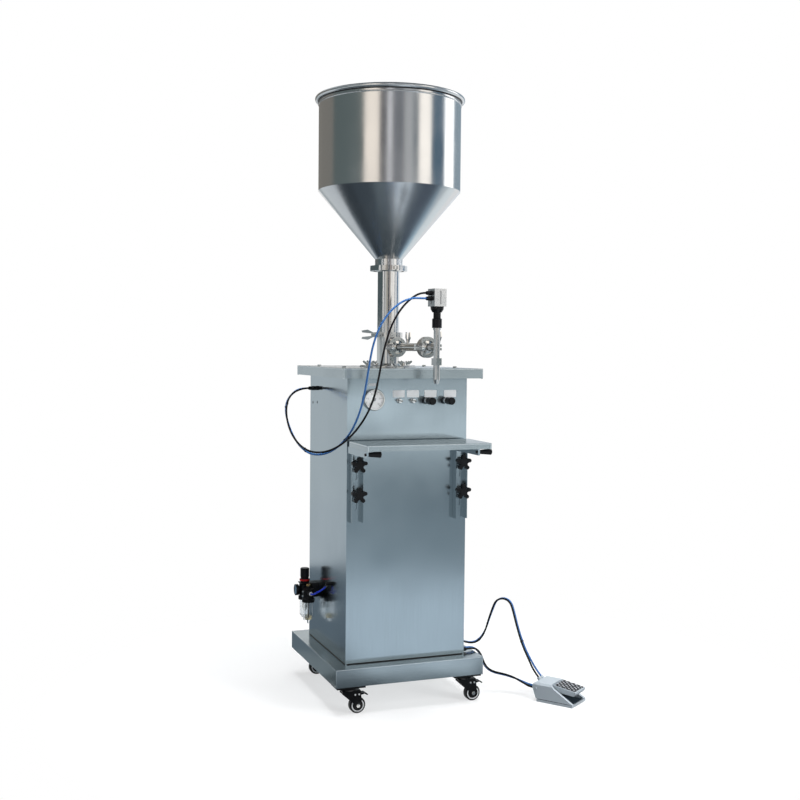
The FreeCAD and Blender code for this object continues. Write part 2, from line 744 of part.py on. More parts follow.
# Shut off nozzle: an upright tube with a stub and a hexagon, a tip, a gland and an air cylinder
# whose rod closes the tip. It stands at the end of the outlet pipe.
NOZZLE_AT = ("0", "line_y", "0")
NY = "-nozzle_reach"
stub_z = TABLE_TOP + " + pipe_rise"
nozzle_tube = turned(
    "nozzle_tube",
    [
        ("0", "tip_top"),
        ("tip_radius", "tip_top"),
        ("tip_radius", "hex_low"),
        ("nozzle_radius", "hex_low"),
        ("nozzle_radius", "nozzle_top - 6"),
        ("nozzle_radius + 2", "nozzle_top - 6"),
        ("nozzle_radius + 2", "nozzle_top"),
        ("0", "nozzle_top"),
    ],
    ("0", NY, "0"),
)
nozzle_hex = prism("nozzle_hex", 6, "hex_across / 2 / cos(30)", "hex_tall", ("0", NY, "hex_low"))
stub_far = "outlet_far + gasket_thick / 2"
nozzle_stub = turned(
    "nozzle_stub",
    [
        ("0", stub_far),
        ("outlet_ferrule", stub_far),
        ("outlet_ferrule", stub_far + " + ferrule_thick"),
        ("pipe_radius", stub_far + " + ferrule_thick + ferrule_bevel"),
        ("pipe_radius", "nozzle_reach - 1"),
        ("0", "nozzle_reach - 1"),
    ],
    ("0", "0", stub_z),
    "-y",
)
nozzle_bores = [
    rod("nozzle_bore_up", "nozzle_bore", "nozzle_top - tip_top + 20", ("0", NY, "tip_top - 10")),
    rod("nozzle_bore_in", "pipe_bore", "nozzle_reach - outlet_far", ("0", "-outlet_far + 5", stub_z), "-y"),
]
nozzle_solid = fuse("nozzle_solid", nozzle_tube, nozzle_hex, nozzle_stub)
node(cut("nozzle", nozzle_solid, *nozzle_bores), "nozzle_body", NOZZLE_AT, "pipe_swing")
tip = turned(
    "tip",
    [
        ("tip_bore", "-tip_tall"),
        ("tip_bore + 1.5", "-tip_tall"),
        ("tip_radius", "-5"),
        ("tip_radius", "0"),
        ("nozzle_bore", "0"),
        ("tip_bore", "-4"),
    ],
    ("0", NY, "tip_top"),
)
node(group("tip_set", tip), "nozzle_tip", NOZZLE_AT, "pipe_swing")
NECK_Z = "gland_tall"
ADAPTER_Z = "gland_tall + neck_thin_tall"
CYLINDER_Z = "nozzle_top + gland_tall + neck_thin_tall + adapter_tall"
gland = turned(
    "gland",
    [
        ("plunger_radius + running_gap", "0"),
        ("gland_radius", "0"),
        ("gland_radius", NECK_Z + " - 2"),
        ("gland_radius - 2", NECK_Z),
        ("neck_thin", NECK_Z),
        ("neck_thin", ADAPTER_Z),
        ("neck_thin + 3", ADAPTER_Z),
        ("cylinder_side / 2 - 1", ADAPTER_Z + " + adapter_tall / 2"),
        ("cylinder_side / 2", ADAPTER_Z + " + adapter_tall"),
        ("plunger_radius + running_gap", ADAPTER_Z + " + adapter_tall"),
    ],
    ("0", NY, "nozzle_top"),
)
node(group("gland_set", gland), "gland_adapter", NOZZLE_AT, "pipe_swing")
HALF = "cylinder_side / 2"
cylinder_block = box(
    "cylinder_block",
    ("-" + HALF, HALF),
    ("%s - %s" % (NY, HALF), "%s + %s" % (NY, HALF)),
    (CYLINDER_Z, CYLINDER_Z + " + cylinder_tall"),
)
grooves = []
for name, dx, dy in (("front", "0", "-"), ("back", "0", ""), ("left", "-", "0"), ("right", "", "0")):
    mid_x = dx + HALF if dx != "0" else "0"
    mid_y = "%s + (%s%s)" % (NY, dy, HALF) if dy != "0" else NY
    half_x = "slot_wide / 2" if dx == "0" else "slot_deep"
    half_y = "slot_deep" if dx == "0" else "slot_wide / 2"
    grooves.append(
        box(
            "groove_" + name,
            ("%s - %s" % (mid_x, half_x), "%s + %s" % (mid_x, half_x)),
            ("%s - %s" % (mid_y, half_y), "%s + %s" % (mid_y, half_y)),
            (CYLINDER_Z + " + 6", CYLINDER_Z + " + cylinder_tall - 6"),
        )
    )
CHAMBER_Z = CYLINDER_Z + " + 6"
chamber = rod("chamber", "cylinder_side / 2 - 5.5", "cylinder_tall - 12", ("0", NY, CHAMBER_Z))
chamber_way = rod("chamber_way", "plunger_radius + running_gap", "20", ("0", NY, CYLINDER_Z + " - 5"))
node(
    cut("air_cylinder", cylinder_block, chamber, chamber_way, *grooves),
    "nozzle_cylinder",
    NOZZLE_AT,
    "pipe_swing",
)
PLUNGER_LOW = "tip_top + 4"
HEAD_Z = CHAMBER_Z + " + plunger_stroke + 3"
PLUNGER_LONG = "%s - (%s)" % (HEAD_Z, PLUNGER_LOW)
plunger_rod = rod("plunger_rod", "plunger_radius", PLUNGER_LONG, ("0", NY, PLUNGER_LOW))
plunger_head = rod("plunger_head", "cylinder_side / 2 - 5.5 - running_gap", "8", ("0", NY, HEAD_Z))
node(fuse("plunger", plunger_rod, plunger_head), "cutoff_plunger", NOZZLE_AT, "pipe_swing")

# Bolts of the flange with their wing nuts, and the screws of the table cap.
fasteners = []
BOLT_TOP = TABLE_TOP + " + flange_thick"
WING_VIEW = [
    ("-8", "0"), ("-21", "11"), ("-17", "15"), ("-6", "8"),
    ("6", "8"), ("17", "15"), ("21", "11"), ("8", "0"),
]
for count in range(4):
    angle = 20 + 90 * count
    spot = ("bolt_ring * cos(%d)" % angle, "line_y + bolt_ring * sin(%d)" % angle, BOLT_TOP)
    stem = rod("flange_bolt_%d" % count, "3", "13", spot)
    hub = cone("flange_nut_%d" % count, "8", "6", "8", spot)
    wings = pressed("flange_wings_%d" % count, WING_VIEW, "3", "XZ_Plane", spot)
    fasteners.append(fuse("wing_nut_%d" % count, stem, hub, wings))
for name, x, y in (
    ("front_left", "-screw_x", "screw_front"),
    ("front_right", "screw_x", "screw_front"),
    ("back_left", "-screw_x", "screw_back"),
    ("back_right", "screw_x", "screw_back"),
):
    fasteners.append(prism("table_screw_" + name, 6, "6.5", "5", (x, y, TABLE_TOP)))
node(group("fasteners", *fasteners), "table_fasteners")

# Pressure gauge on the front panel: a can behind the panel, a rolled bezel and a needle.
GAUGE_AT = ("gauge_x", "0", "gauge_z")
gauge_can = turned(
    "gauge_can",
    [
        ("0", "-cabinet_sheet - 16"),
        ("gauge_radius - gauge_bezel - 2", "-cabinet_sheet - 16"),
        ("gauge_radius - gauge_bezel - 2", "0"),
        ("gauge_radius", "0"),
        ("gauge_radius", "gauge_out - 3"),
        ("gauge_radius - 2", "gauge_out"),
        ("gauge_radius - gauge_bezel", "gauge_out"),
        ("gauge_radius - gauge_bezel", "gauge_out - 9"),
        ("0", "gauge_out - 9"),
    ],
    GAUGE_AT,
    "-y",
)
needle_post = rod("needle_post", "1.5", "4", ("gauge_x", "-gauge_out + 9", "gauge_z"), "-y")
node(fuse("gauge", gauge_can, needle_post), "gauge_case")
NEEDLE_Y = "-gauge_out + 9 - 2.3"
needle_hub = rod("needle_hub", "4", "1", ("gauge_x", NEEDLE_Y, "gauge_z"), "-y")
needle_arm = pressed(
    "needle_arm",
    [
        ("-needle_long * cos(45)", "-needle_long * cos(45)"),
        ("1.2", "-1.2"),
        ("5", "4"),
        ("4", "5"),
        ("-1.2", "1.2"),
    ],
    "1",
    "XZ_Plane",
    ("gauge_x", NEEDLE_Y + " - 0.5", "gauge_z"),
)
needle_hole = rod("needle_hole", "1.5 + running_gap", "6", ("gauge_x", NEEDLE_Y + " + 2", "gauge_z"), "-y")
node(cut("needle", fuse("needle_solid", needle_hub, needle_arm), needle_hole), "gauge_needle")

# Toggle switches and flow control knobs, each in a plated bush through the panel.
bushes = []
for spot in ("switch_left", "switch_right", "speed_left", "speed_right"):
    bush = turned(
        "bush_" + spot,
        [
            ("1.5 + running_gap", "-cabinet_sheet - 6"),
            ("bush_radius / 2", "-cabinet_sheet - 6"),
            ("bush_radius / 2", "0"),
            ("bush_radius", "0"),
            ("bush_radius", "bush_long / 3"),
            ("bush_radius - 2", "bush_long / 3 + 1"),
            ("bush_radius - 2", "bush_long"),
            ("1.5 + running_gap", "bush_long"),
        ],
        (spot, "0", "control_z"),
        "-y",
    )
    bushes.append(bush)
node(group("bushes", *bushes), "panel_bushes")
for side in ("left", "right"):
    SWITCH = "switch_" + side
    lever = cone("lever_" + side, "1.4", "2.8", "15", (SWITCH, "-bush_long - 0.4", "control_z"), "-y")
    lever_end = doc.addObject("Part::Sphere", "lever_end_" + side)
    lever_end.Radius = 2.8
    place(lever_end, (SWITCH, "-bush_long - 15.4", "control_z"))
    pivot = rod("lever_pin_" + side, "1.8", "4", (SWITCH + " - 2", "-bush_long - 2.2", "control_z"), "x")
    node(fuse("toggle_solid_" + side, lever, lever_end, pivot), "toggle_" + side)
    SPEED = "speed_" + side
    knob = turned(
        "speed_grip_" + side,
        [
            ("0", "0"),
            ("speed_radius - 1.5", "0"),
            ("speed_radius", "2"),
            ("speed_radius", "speed_long - 3"),
            ("speed_radius - 2", "speed_long"),
            ("0", "speed_long"),
        ],
        (SPEED, "-bush_long - 0.4", "control_z"),
        "-y",
    )
    stem = rod("speed_stem_" + side, "1.5", "bush_long", (SPEED, "-1", "control_z"), "-y")
    node(fuse("speed_solid_" + side, knob, stem), "speed_knob_" + side)

# Tray brackets: slotted channels on welded studs, each with an arm to the front.
RAIL_TOP = "tray_low - arm_gap"
rails = []
RAILS = (("left", "0", "-rail_wide / 2 - arm_thick"), ("right", "rail_pitch", "-rail_wide / 2 + 5"))
for side, shift, arm_x in RAILS:
    mid = "rail_left + " + shift
    rail_y = ("-rail_gap - rail_deep", "-rail_gap")
    rail_x = (mid + " - rail_wide / 2", mid + " + rail_wide / 2")
    rail_block = box("rail_" + side, rail_x, rail_y, ("rail_low", RAIL_TOP))
    rail_open = box(
        "rail_open_" + side,
        (mid + " - rail_wide / 2 + rail_sheet", mid + " + rail_wide / 2 - rail_sheet"),
        ("-rail_gap - rail_deep - 1", "-rail_gap - rail_sheet"),
        ("rail_low - 1", RAIL_TOP + " + 1"),
    )
    slots = []
    for level in ("high", "low"):
        star = "star_" + level
        slot_name = "slot_%s_%s" % (side, level)
        slots.append(
            box(
                slot_name,
                (mid + " - rail_slot / 2", mid + " + rail_slot / 2"),
                ("-20", "5"),
                (star + " - slot_down + rail_slot / 2", star + " + slot_up - rail_slot / 2"),
            )
        )
        ends = {"low": star + " - slot_down + rail_slot / 2", "high": star + " + slot_up - rail_slot / 2"}
        for end, z in ends.items():
            slots.append(rod(slot_name + "_" + end, "rail_slot / 2", "25", (mid, "-20", z), "y"))
    arm_left = mid + " + (%s)" % arm_x
    arm = box(
        "arm_" + side,
        (arm_left, arm_left + " + arm_thick"),
        ("-arm_front", "-rail_gap"),
        (RAIL_TOP + " - arm_tall", RAIL_TOP),
    )
    lock_hole = rod(
        "lock_hole_" + side,
        "stud_radius + running_gap",
        "20",
        (arm_left + " - 5", "-arm_front + lock_inset", RAIL_TOP + " - arm_tall / 2"),
        "x",
    )
    channel = cut("channel_" + side, rail_block, rail_open, *slots)
    rails.append(cut("bracket_" + side, fuse("bracket_solid_" + side, channel, arm), lock_hole))
    lock_at = (arm_left + " + arm_thick + 0.4", "-arm_front + lock_inset", RAIL_TOP + " - arm_tall / 2")
    grip = cone("lock_grip_" + side, "lock_root", "lock_end", "lock_long", lock_at, "x")
    end_at = ("%s + lock_long" % lock_at[0], *lock_at[1:])
    lock_end = cone("lock_end_" + side, "lock_end", "lock_end - 2", "2", end_at, "x")
    screw_at = (arm_left + " - 3", *lock_at[1:])
    screw = rod("lock_screw_" + side, "stud_radius", "arm_thick + 6", screw_at, "x")
    node(fuse("lock_" + side, grip, lock_end, screw), "arm_knob_" + side)
node(group("brackets", *rails), "tray_brackets")
for name, (x, z) in STARS.items():
    hub = rod("star_hub_" + name, "star_hub", "star_thick + star_out - rail_gap - rail_sheet - 0.5",
              (x, "-rail_gap - rail_sheet - 0.5", z), "-y")
    arms = []
    for count in range(5):
        angle = 90 + 72 * count
        reach = "(star_radius - star_lobe)"
        tip_x = "%s + %s * cos(%d)" % (x, reach, angle)
        tip_z = "%s + %s * sin(%d)" % (z, reach, angle)
        tip_at = (tip_x, "-star_out", tip_z)
        arms.append(rod("star_tip_%s_%d" % (name, count), "star_lobe", "star_thick", tip_at, "-y"))
        mid_at = ("%s + %s * 0.6 * cos(%d)" % (x, reach, angle), "-star_out",
                  "%s + %s * 0.6 * sin(%d)" % (z, reach, angle))
        arms.append(rod("star_arm_%s_%d" % (name, count), "star_lobe", "star_thick - 1", mid_at, "-y"))
    socket_deep = "star_out + star_thick - 3"
    socket = rod("star_socket_" + name, "stud_radius + running_gap", socket_deep, (x, "0", z), "-y")
    node(cut("star_" + name, fuse("star_solid_" + name, hub, *arms), socket), "star_knob_" + name)

# The tray is a folded sheet with turned in lips that lie on the arms.
TRAY_X = "tray_wide / 2"
TRAY_Y = ("-tray_back - tray_deep", "-tray_back")
tray_block = box("tray_block", ("-" + TRAY_X, TRAY_X), TRAY_Y, ("tray_low", "tray_low + tray_tall"))
tray_under = box(
    "tray_under",
    ("-tray_wide / 2 + tray_sheet", "tray_wide / 2 - tray_sheet"),
    ("-tray_back - tray_deep + tray_sheet", "-tray_back - tray_sheet"),
    ("tray_low + tray_sheet", "tray_low + tray_tall - tray_sheet"),
)
tray_mouth = box(
    "tray_mouth",
    ("-tray_wide / 2 + tray_lip", "tray_wide / 2 - tray_lip - 30"),
    ("-tray_back - tray_deep + tray_lip", "-tray_back - tray_lip"),
    ("tray_low - 1", "tray_low + tray_sheet + 1"),
)
node(cut("tray_sheet_metal", tray_block, tray_under, tray_mouth), "tray")

# Air preparation unit: regulator and lubricator bodies in one block, two bowls, a gauge and a knob.
AIR_X = "-cabinet_wide / 2 - air_out"
COLLAR = "10"
NECK_TOP = "air_z + air_body_tall + 10"


def module(name, y, top, neck):
    return turned(
        name,
        [
            ("0", "0"),
            ("air_bowl_radius + 5", "0"),
            ("air_bowl_radius + 5", COLLAR),
            ("air_body_radius", COLLAR + " + 3"),
            ("air_body_radius", top),
            (neck, top + " + 2"),
            (neck, top + " + 10"),
            ("0", top + " + 10"),
        ],
        (AIR_X, y, "air_z"),
    )


AIR_Y = "(cabinet_deep - air_back)"
LUB_Y = AIR_Y + " - air_pitch"
air_parts = [
    module("regulator_body", AIR_Y, "air_body_tall", "air_body_radius - 3"),
    module("lubricator_body", LUB_Y, "air_body_tall - 8", "8"),
    box(
        "air_bridge",
        (AIR_X + " - 9", AIR_X + " + 9"),
        (LUB_Y, AIR_Y),
        ("air_z + 20", "air_z + 42"),
    ),
    rod("air_inlet", "9", "air_body_radius + 12", (AIR_X, AIR_Y, "air_z + 31"), "y"),
    rod("air_outlet", "9", "air_body_radius + 10", (AIR_X, LUB_Y, "air_z + 31"), "-y"),
    rod("air_gauge_boss", "6", "air_body_radius + 3", (AIR_X, AIR_Y, "air_z + 32"), "-x"),
]
inlet_bore = rod("inlet_bore", "5", "14", (AIR_X, AIR_Y + " + air_body_radius - 1", "air_z + 31"), "y")
node(cut("air_unit", fuse("air_unit_solid", *air_parts), inlet_bore), "air_unit_body")
air_knob = turned(
    "air_knob",
    [
        ("0", "0"),
        ("air_knob_radius + 1", "0"),
        ("air_knob_radius - 1", "6"),
        ("air_knob_radius - 1", "12"),
        ("air_knob_radius", "14"),
        ("air_knob_radius", "air_knob_tall - 2"),
        ("air_knob_radius - 2", "air_knob_tall"),
        ("0", "air_knob_tall"),
    ],
    (AIR_X, AIR_Y, NECK_TOP + " + 0.4"),
)
node(air_knob, "regulator_knob")
air_gauge = turned(
    "air_gauge",
    [
        ("0", "0"),
        ("air_gauge_radius - 2", "0"),
        ("air_gauge_radius", "2"),
        ("air_gauge_radius", "11"),
        ("air_gauge_radius - 2.5", "11"),
        ("air_gauge_radius - 2.5", "9"),
        ("0", "9"),
    ],
    (AIR_X + " - air_body_radius - 3", AIR_Y, "air_z + 32"),
    "-x",
)
node(air_gauge, "regulator_gauge")
bowls = []
for name, y in (("filter", AIR_Y), ("lubricator", LUB_Y)):
    bowls.append(
        turned(
            name + "_bowl",
            [
                ("0", "-air_bowl_tall"),
                ("air_bowl_radius - 6", "-air_bowl_tall"),
                ("air_bowl_radius", "-air_bowl_tall + 9"),
                ("air_bowl_radius", "0"),
                ("air_bowl_radius - 2", "0"),
                ("air_bowl_radius - 2", "-air_bowl_tall + 10"),
                ("air_bowl_radius - 7", "-air_bowl_tall + 2.5"),
                ("4", "-air_bowl_tall + 2.5"),
                ("4", "-air_bowl_tall + 8"),
                ("0", "-air_bowl_tall + 8"),
            ],
            (AIR_X, y, "air_z"),
        )
    )
    bowls.append(cone(name + "_drain", "3", "4.5", "12", (AIR_X, y, "air_z - air_bowl_tall - 12")))
node(group("bowls", *bowls), "clear_bowls")
BRACKET_Z = "air_z + air_body_tall + 2.2"
bracket_plate = box(
    "air_bracket_plate",
    (AIR_X + " - 17", "-cabinet_wide / 2"),
    (AIR_Y + " - 19", AIR_Y + " + 19"),
    (BRACKET_Z, BRACKET_Z + " + 3"),
)
bracket_flange = box(
    "air_bracket_flange",
    ("-cabinet_wide / 2 - 3", "-cabinet_wide / 2"),
    (AIR_Y + " - 19", AIR_Y + " + 19"),
    (BRACKET_Z + " - 40", BRACKET_Z + " + 3"),
)
bracket_hole = rod("air_bracket_hole", "air_body_radius - 2.8", "20", (AIR_X, AIR_Y, BRACKET_Z + " - 5"))
bracket_solid = fuse("air_bracket_solid", bracket_plate, bracket_flange)
node(cut("air_bracket", bracket_solid, bracket_hole), "air_unit_bracket")

# Casters: top plates bolted under the base, forks that swivel, wheels, and two brake levers.
CASTERS = {
    "front_left": ("-(base_wide / 2 - caster_inset_x)", "-base_front + caster_inset_y"),
    "front_right": ("base_wide / 2 - caster_inset_x", "-base_front + caster_inset_y"),
    "rear_left": ("-(base_wide / 2 - caster_inset_x)", "base_deep - base_front - caster_inset_y"),
    "rear_right": ("base_wide / 2 - caster_inset_x", "base_deep - base_front - caster_inset_y"),
}
PLATE_LOW = "caster_tall - caster_plate_thick"
plates = []
for name, (x, y) in CASTERS.items():
    flat = box(
        "caster_flat_" + name,
        (x + " - caster_plate_wide / 2", x + " + caster_plate_wide / 2"),
        (y + " - caster_plate_deep / 2", y + " + caster_plate_deep / 2"),
        (PLATE_LOW, "caster_tall"),
    )
    race = rod("caster_race_" + name, "22", "5", (x, y, PLATE_LOW + " - 5"))
    king = rod("caster_king_" + name, "king_radius", "12", (x, y, PLATE_LOW + " - 12"))
    plates.append(fuse("caster_plate_" + name, flat, race, king))
node(group("caster_tops", *plates), "caster_plates")
CROWN_TOP = PLATE_LOW + " - 5.4"
BRAKED = ("front_left", "front_right")
BRAKE_Z = "2 * wheel_radius + 7.5"
LEG_OUT = "wheel_wide / 2 + 1 + fork_thick"
for name, (x, y) in CASTERS.items():
    wheel_x = x + " + caster_trail"
    crown = cut(
        "crown_" + name,
        cone("crown_cone_" + name, "20", "24", "6", (x, y, CROWN_TOP + " - 6")),
        rod("crown_bore_" + name, "king_radius + running_gap", "20", (x, y, CROWN_TOP + " - 12")),
    )
    leg_shape = [
        ("-23", CROWN_TOP + " - 6"),
        ("-23", CROWN_TOP + " - 14"),
        ("caster_trail - 13", "wheel_radius + 6"),
        ("caster_trail - 9", "wheel_radius - 8"),
        ("caster_trail + 9", "wheel_radius - 8"),
        ("caster_trail + 13", "wheel_radius + 2"),
        ("caster_trail + 8", CROWN_TOP + " - 6"),
    ]
    legs = pressed("legs_" + name, leg_shape, "2 * (%s)" % LEG_OUT, "XZ_Plane", (x, y, "0"))
    gap_low = box(
        "fork_gap_" + name,
        (x + " - 40", wheel_x + " + 40"),
        (y + " - wheel_wide / 2 - 1", y + " + wheel_wide / 2 + 1"),
        ("0", CROWN_TOP + " - 8.5"),
    )
    axle = rod("axle_" + name, "axle_radius", "2 * (%s) + 5" % LEG_OUT,
               (wheel_x, y + " - (%s) - 2.5" % LEG_OUT, "wheel_radius"), "y")
    king_room = rod("king_room_" + name, "king_radius + 3", "20", (x, y, CROWN_TOP + " - 18"))
    pieces = [crown, cut("fork_cut_" + name, legs, gap_low, king_room), axle]
    if name in BRAKED:
        pin_at = (x + " + caster_trail + 3", y + " - (%s)" % LEG_OUT, BRAKE_Z + " + 1")
        pieces.append(rod("brake_pin_" + name, "brake_pin", "2 * (%s)" % LEG_OUT, pin_at, "y"))
    node(fuse("fork_set_" + name, *pieces), "fork_" + name)
    wheel = turned(
        "tyre_" + name,
        [
            ("axle_radius + running_gap", "-wheel_wide / 2"),
            ("9", "-wheel_wide / 2"),
            ("10", "-wheel_wide / 2 + 2.5"),
            ("15", "-wheel_wide / 2 + 2.5"),
            ("16", "-wheel_wide / 2"),
            ("wheel_radius - 3", "-wheel_wide / 2"),
            ("wheel_radius", "-wheel_wide / 2 + 3"),
            ("wheel_radius", "wheel_wide / 2 - 3"),
            ("wheel_radius - 3", "wheel_wide / 2"),
            ("16", "wheel_wide / 2"),
            ("15", "wheel_wide / 2 - 2.5"),
            ("10", "wheel_wide / 2 - 2.5"),
            ("9", "wheel_wide / 2"),
            ("axle_radius + running_gap", "wheel_wide / 2"),
        ],
        (wheel_x, y, "wheel_radius"),
        "y",
    )
    node(wheel, "wheel_" + name)

# Brake levers of the two front casters turn on a pin between the fork legs.
BRAKE_VIEW = [
    ("-4", "-3"),
    ("-5", "2"),
    ("-3", "5"),
    ("brake_long - 14", "4.5"),
    ("brake_long - 4", "-2"),
    ("brake_long - 6", "-5"),
    ("brake_long - 15", "0.5"),
    ("4", "-3"),
]
for name in BRAKED:
    x, y = CASTERS[name]
    pivot = (x + " + caster_trail + 3", y, BRAKE_Z)
    pad = pressed("brake_pad_" + name, BRAKE_VIEW, "wheel_wide - 1", "XZ_Plane", pivot)
    pin_at = (pivot[0], y + " - 30", BRAKE_Z + " + 1")
    pin_way = rod("brake_bore_" + name, "brake_pin + running_gap", "60", pin_at, "y")
    node(cut("brake_" + name, pad, pin_way), "brake_lever_" + name)

# Foot valve: a die cast housing with drafted sides, a pressed base plate and a pedal on a pin.
FOOT_AT = ("foot_x", "foot_y", "0")
side_view = [
    ("0", "0"),
    ("0", "foot_plate"),
    ("3", "foot_plate + 2"),
    ("17", "foot_tall - 13"),
    ("15", "foot_tall - 4"),
    ("9", "foot_tall"),
    ("-foot_cover", "foot_tall"),
    ("-foot_cover - 12", "foot_tall - 12"),
    ("-foot_long", "foot_plate + 1"),
    ("-foot_long", "0"),
]
front_view = [
    ("-foot_wide / 2", "0"),
    ("-foot_wide / 2", "foot_plate"),
    ("-foot_top_wide / 2 - 2", "foot_tall - 6"),
    ("-foot_top_wide / 2 + 4", "foot_tall"),
    ("foot_top_wide / 2 - 4", "foot_tall"),
    ("foot_top_wide / 2 + 2", "foot_tall - 6"),
    ("foot_wide / 2", "foot_plate"),
    ("foot_wide / 2", "0"),
]
foot_side = pressed("foot_side", side_view, "foot_wide + 10", "YZ_Plane")
foot_front = pressed("foot_front", front_view, "4 * foot_long", "XZ_Plane")
foot_hull = common("foot_hull", foot_side, foot_front)
HALF_OPEN = "foot_top_wide / 2 - foot_wall"
foot_room = box(
    "foot_room",
    ("-(%s)" % HALF_OPEN, HALF_OPEN),
    ("-foot_long - 5", "-12"),
    ("foot_plate", "foot_tall - foot_roof"),
)
foot_front_open = box(
    "foot_front_open",
    ("-(%s)" % HALF_OPEN, HALF_OPEN),
    ("-foot_long - 5", "-foot_cover"),
    ("foot_plate", "foot_tall + 5"),
)
PIN_AT = ("-foot_wide / 2 + 3", "-pedal_pin_back", "pedal_pin_z")
pedal_pin = rod("foot_pin", "pedal_pin_radius", "foot_wide - 6", PIN_AT, "x")
ports = []
for name, across in (("low_black", "-29"), ("low_blue", "-11")):
    ports.append(rod("foot_port_" + name, "fitting_radius + 0.5", "14", (across, "4", "36"), "y"))
for name, across in (("arch_black", "7"), ("arch_blue", "25")):
    slanted = rod("foot_port_" + name, "fitting_radius + 0.5", "22", (across, "6", "44"))
    slanted.Placement.Rotation = FreeCAD.Rotation(FreeCAD.Vector(1, 0, 0), -45)
    ports.append(slanted)
SEAM_Z = ("foot_plate", "foot_plate + foot_seam")
SEAM_X = "foot_wide / 2 - 2"
seam_far = box("foot_seam_far", ("-foot_wide", "foot_wide"), ("-2 * foot_long", "foot_long"), SEAM_Z)
seam_core = box("foot_seam_core", ("-(%s)" % SEAM_X, SEAM_X), ("-2 * foot_long - 1", "-1"), SEAM_Z)
seam = cut("foot_seam_tool", seam_far, seam_core)
rivet = rod("foot_rivet", "4", "foot_wide - 1", ("-foot_wide / 2 + 0.5", "5", "foot_tall - 17"), "x")
housing = cut("foot_housing", foot_hull, foot_room, foot_front_open, seam)
node(fuse("foot", housing, pedal_pin, rivet, *ports), "foot_valve_body", FOOT_AT, "foot_turn")
pedal_view = [
    ("-20", "36"),
    ("-20", "foot_tall - foot_roof - 3.5"),
    ("-foot_cover + 3", "foot_tall - foot_roof - 3.5"),
    ("-foot_cover - 6", "foot_tall - 1"),
    ("-foot_long - 4", "foot_tall - 12"),
    ("-foot_long - 5", "foot_tall - 17"),
    ("-foot_long + 3", "foot_tall - 26"),
    ("-foot_cover - 20", "foot_tall - 20"),
    ("-foot_cover", "34"),
]
pedal_shape = pressed("pedal_shape", pedal_view, "pedal_wide", "YZ_Plane")
pin_hole = rod("pin_hole", "pedal_pin_radius + running_gap", "foot_wide", PIN_AT, "x")
node(cut("pedal_set", pedal_shape, pin_hole), "pedal", FOOT_AT, "foot_turn")

# Push in fittings: on the nozzle cylinder, on both side panels and at the back of the foot valve.
def fitting(name, at, along):
    return turned(
        name,
        [
            ("0", "0"),
            ("fitting_radius + 1", "0"),
            ("fitting_radius + 1", "5"),
            ("fitting_radius", "6"),
            ("fitting_radius", "fitting_long - 3"),
            ("fitting_radius - 1.5", "fitting_long"),
            ("0", "fitting_long"),
        ],
        at,
        along,
    )


RIGHT_HOSES = {"floor_black": "20", "floor_blue": "36", "arch_black": "134", "arch_blue": "150"}
fittings = []
for name, (y, z) in LEFT_HOSES.items():
    fittings.append(fitting("left_fitting_" + name, ("-cabinet_wide / 2", y, z), "-x"))
for name, y in RIGHT_HOSES.items():
    fittings.append(fitting("right_fitting_" + name, ("cabinet_wide / 2", y, "port_tall"), "x"))
ELBOW = ("-cabinet_wide / 2 - 12", "cabinet_deep - 245", "362")
elbow_base = rod("elbow_base", "fitting_radius", "12", ("-cabinet_wide / 2", *ELBOW[1:]), "-x")
elbow_ball = doc.addObject("Part::Sphere", "elbow_ball")
tie(elbow_ball, "Radius", "fitting_radius")
place(elbow_ball, ELBOW)
elbow_arm = rod("elbow_arm", "fitting_radius - 1", "14", ELBOW, "y")
elbow_arm.Placement.Rotation = FreeCAD.Rotation(FreeCAD.Vector(1, 0, 0), -90 - SIZES["elbow_turn"])
fittings.append(fuse("panel_elbow", elbow_base, elbow_ball, elbow_arm))
nozzle_fittings = []
for name, down in (("black", "13"), ("blue", "29")):
    at = ("-" + HALF, NY, CYLINDER_Z + " + cylinder_tall - " + down)
    nozzle_fittings.append(fitting("nozzle_fitting_" + name, at, "-x"))
swung = group("nozzle_fittings", *nozzle_fittings)
place(swung, NOZZLE_AT)
swung.Placement = FreeCAD.Placement(FreeCAD.Vector(), FreeCAD.Rotation(FreeCAD.Vector(0, 0, 1), 1))
tie(swung, "Placement.Rotation.Angle", "pipe_swing")
node(group("fittings", *fittings, swung), "push_in_fittings")

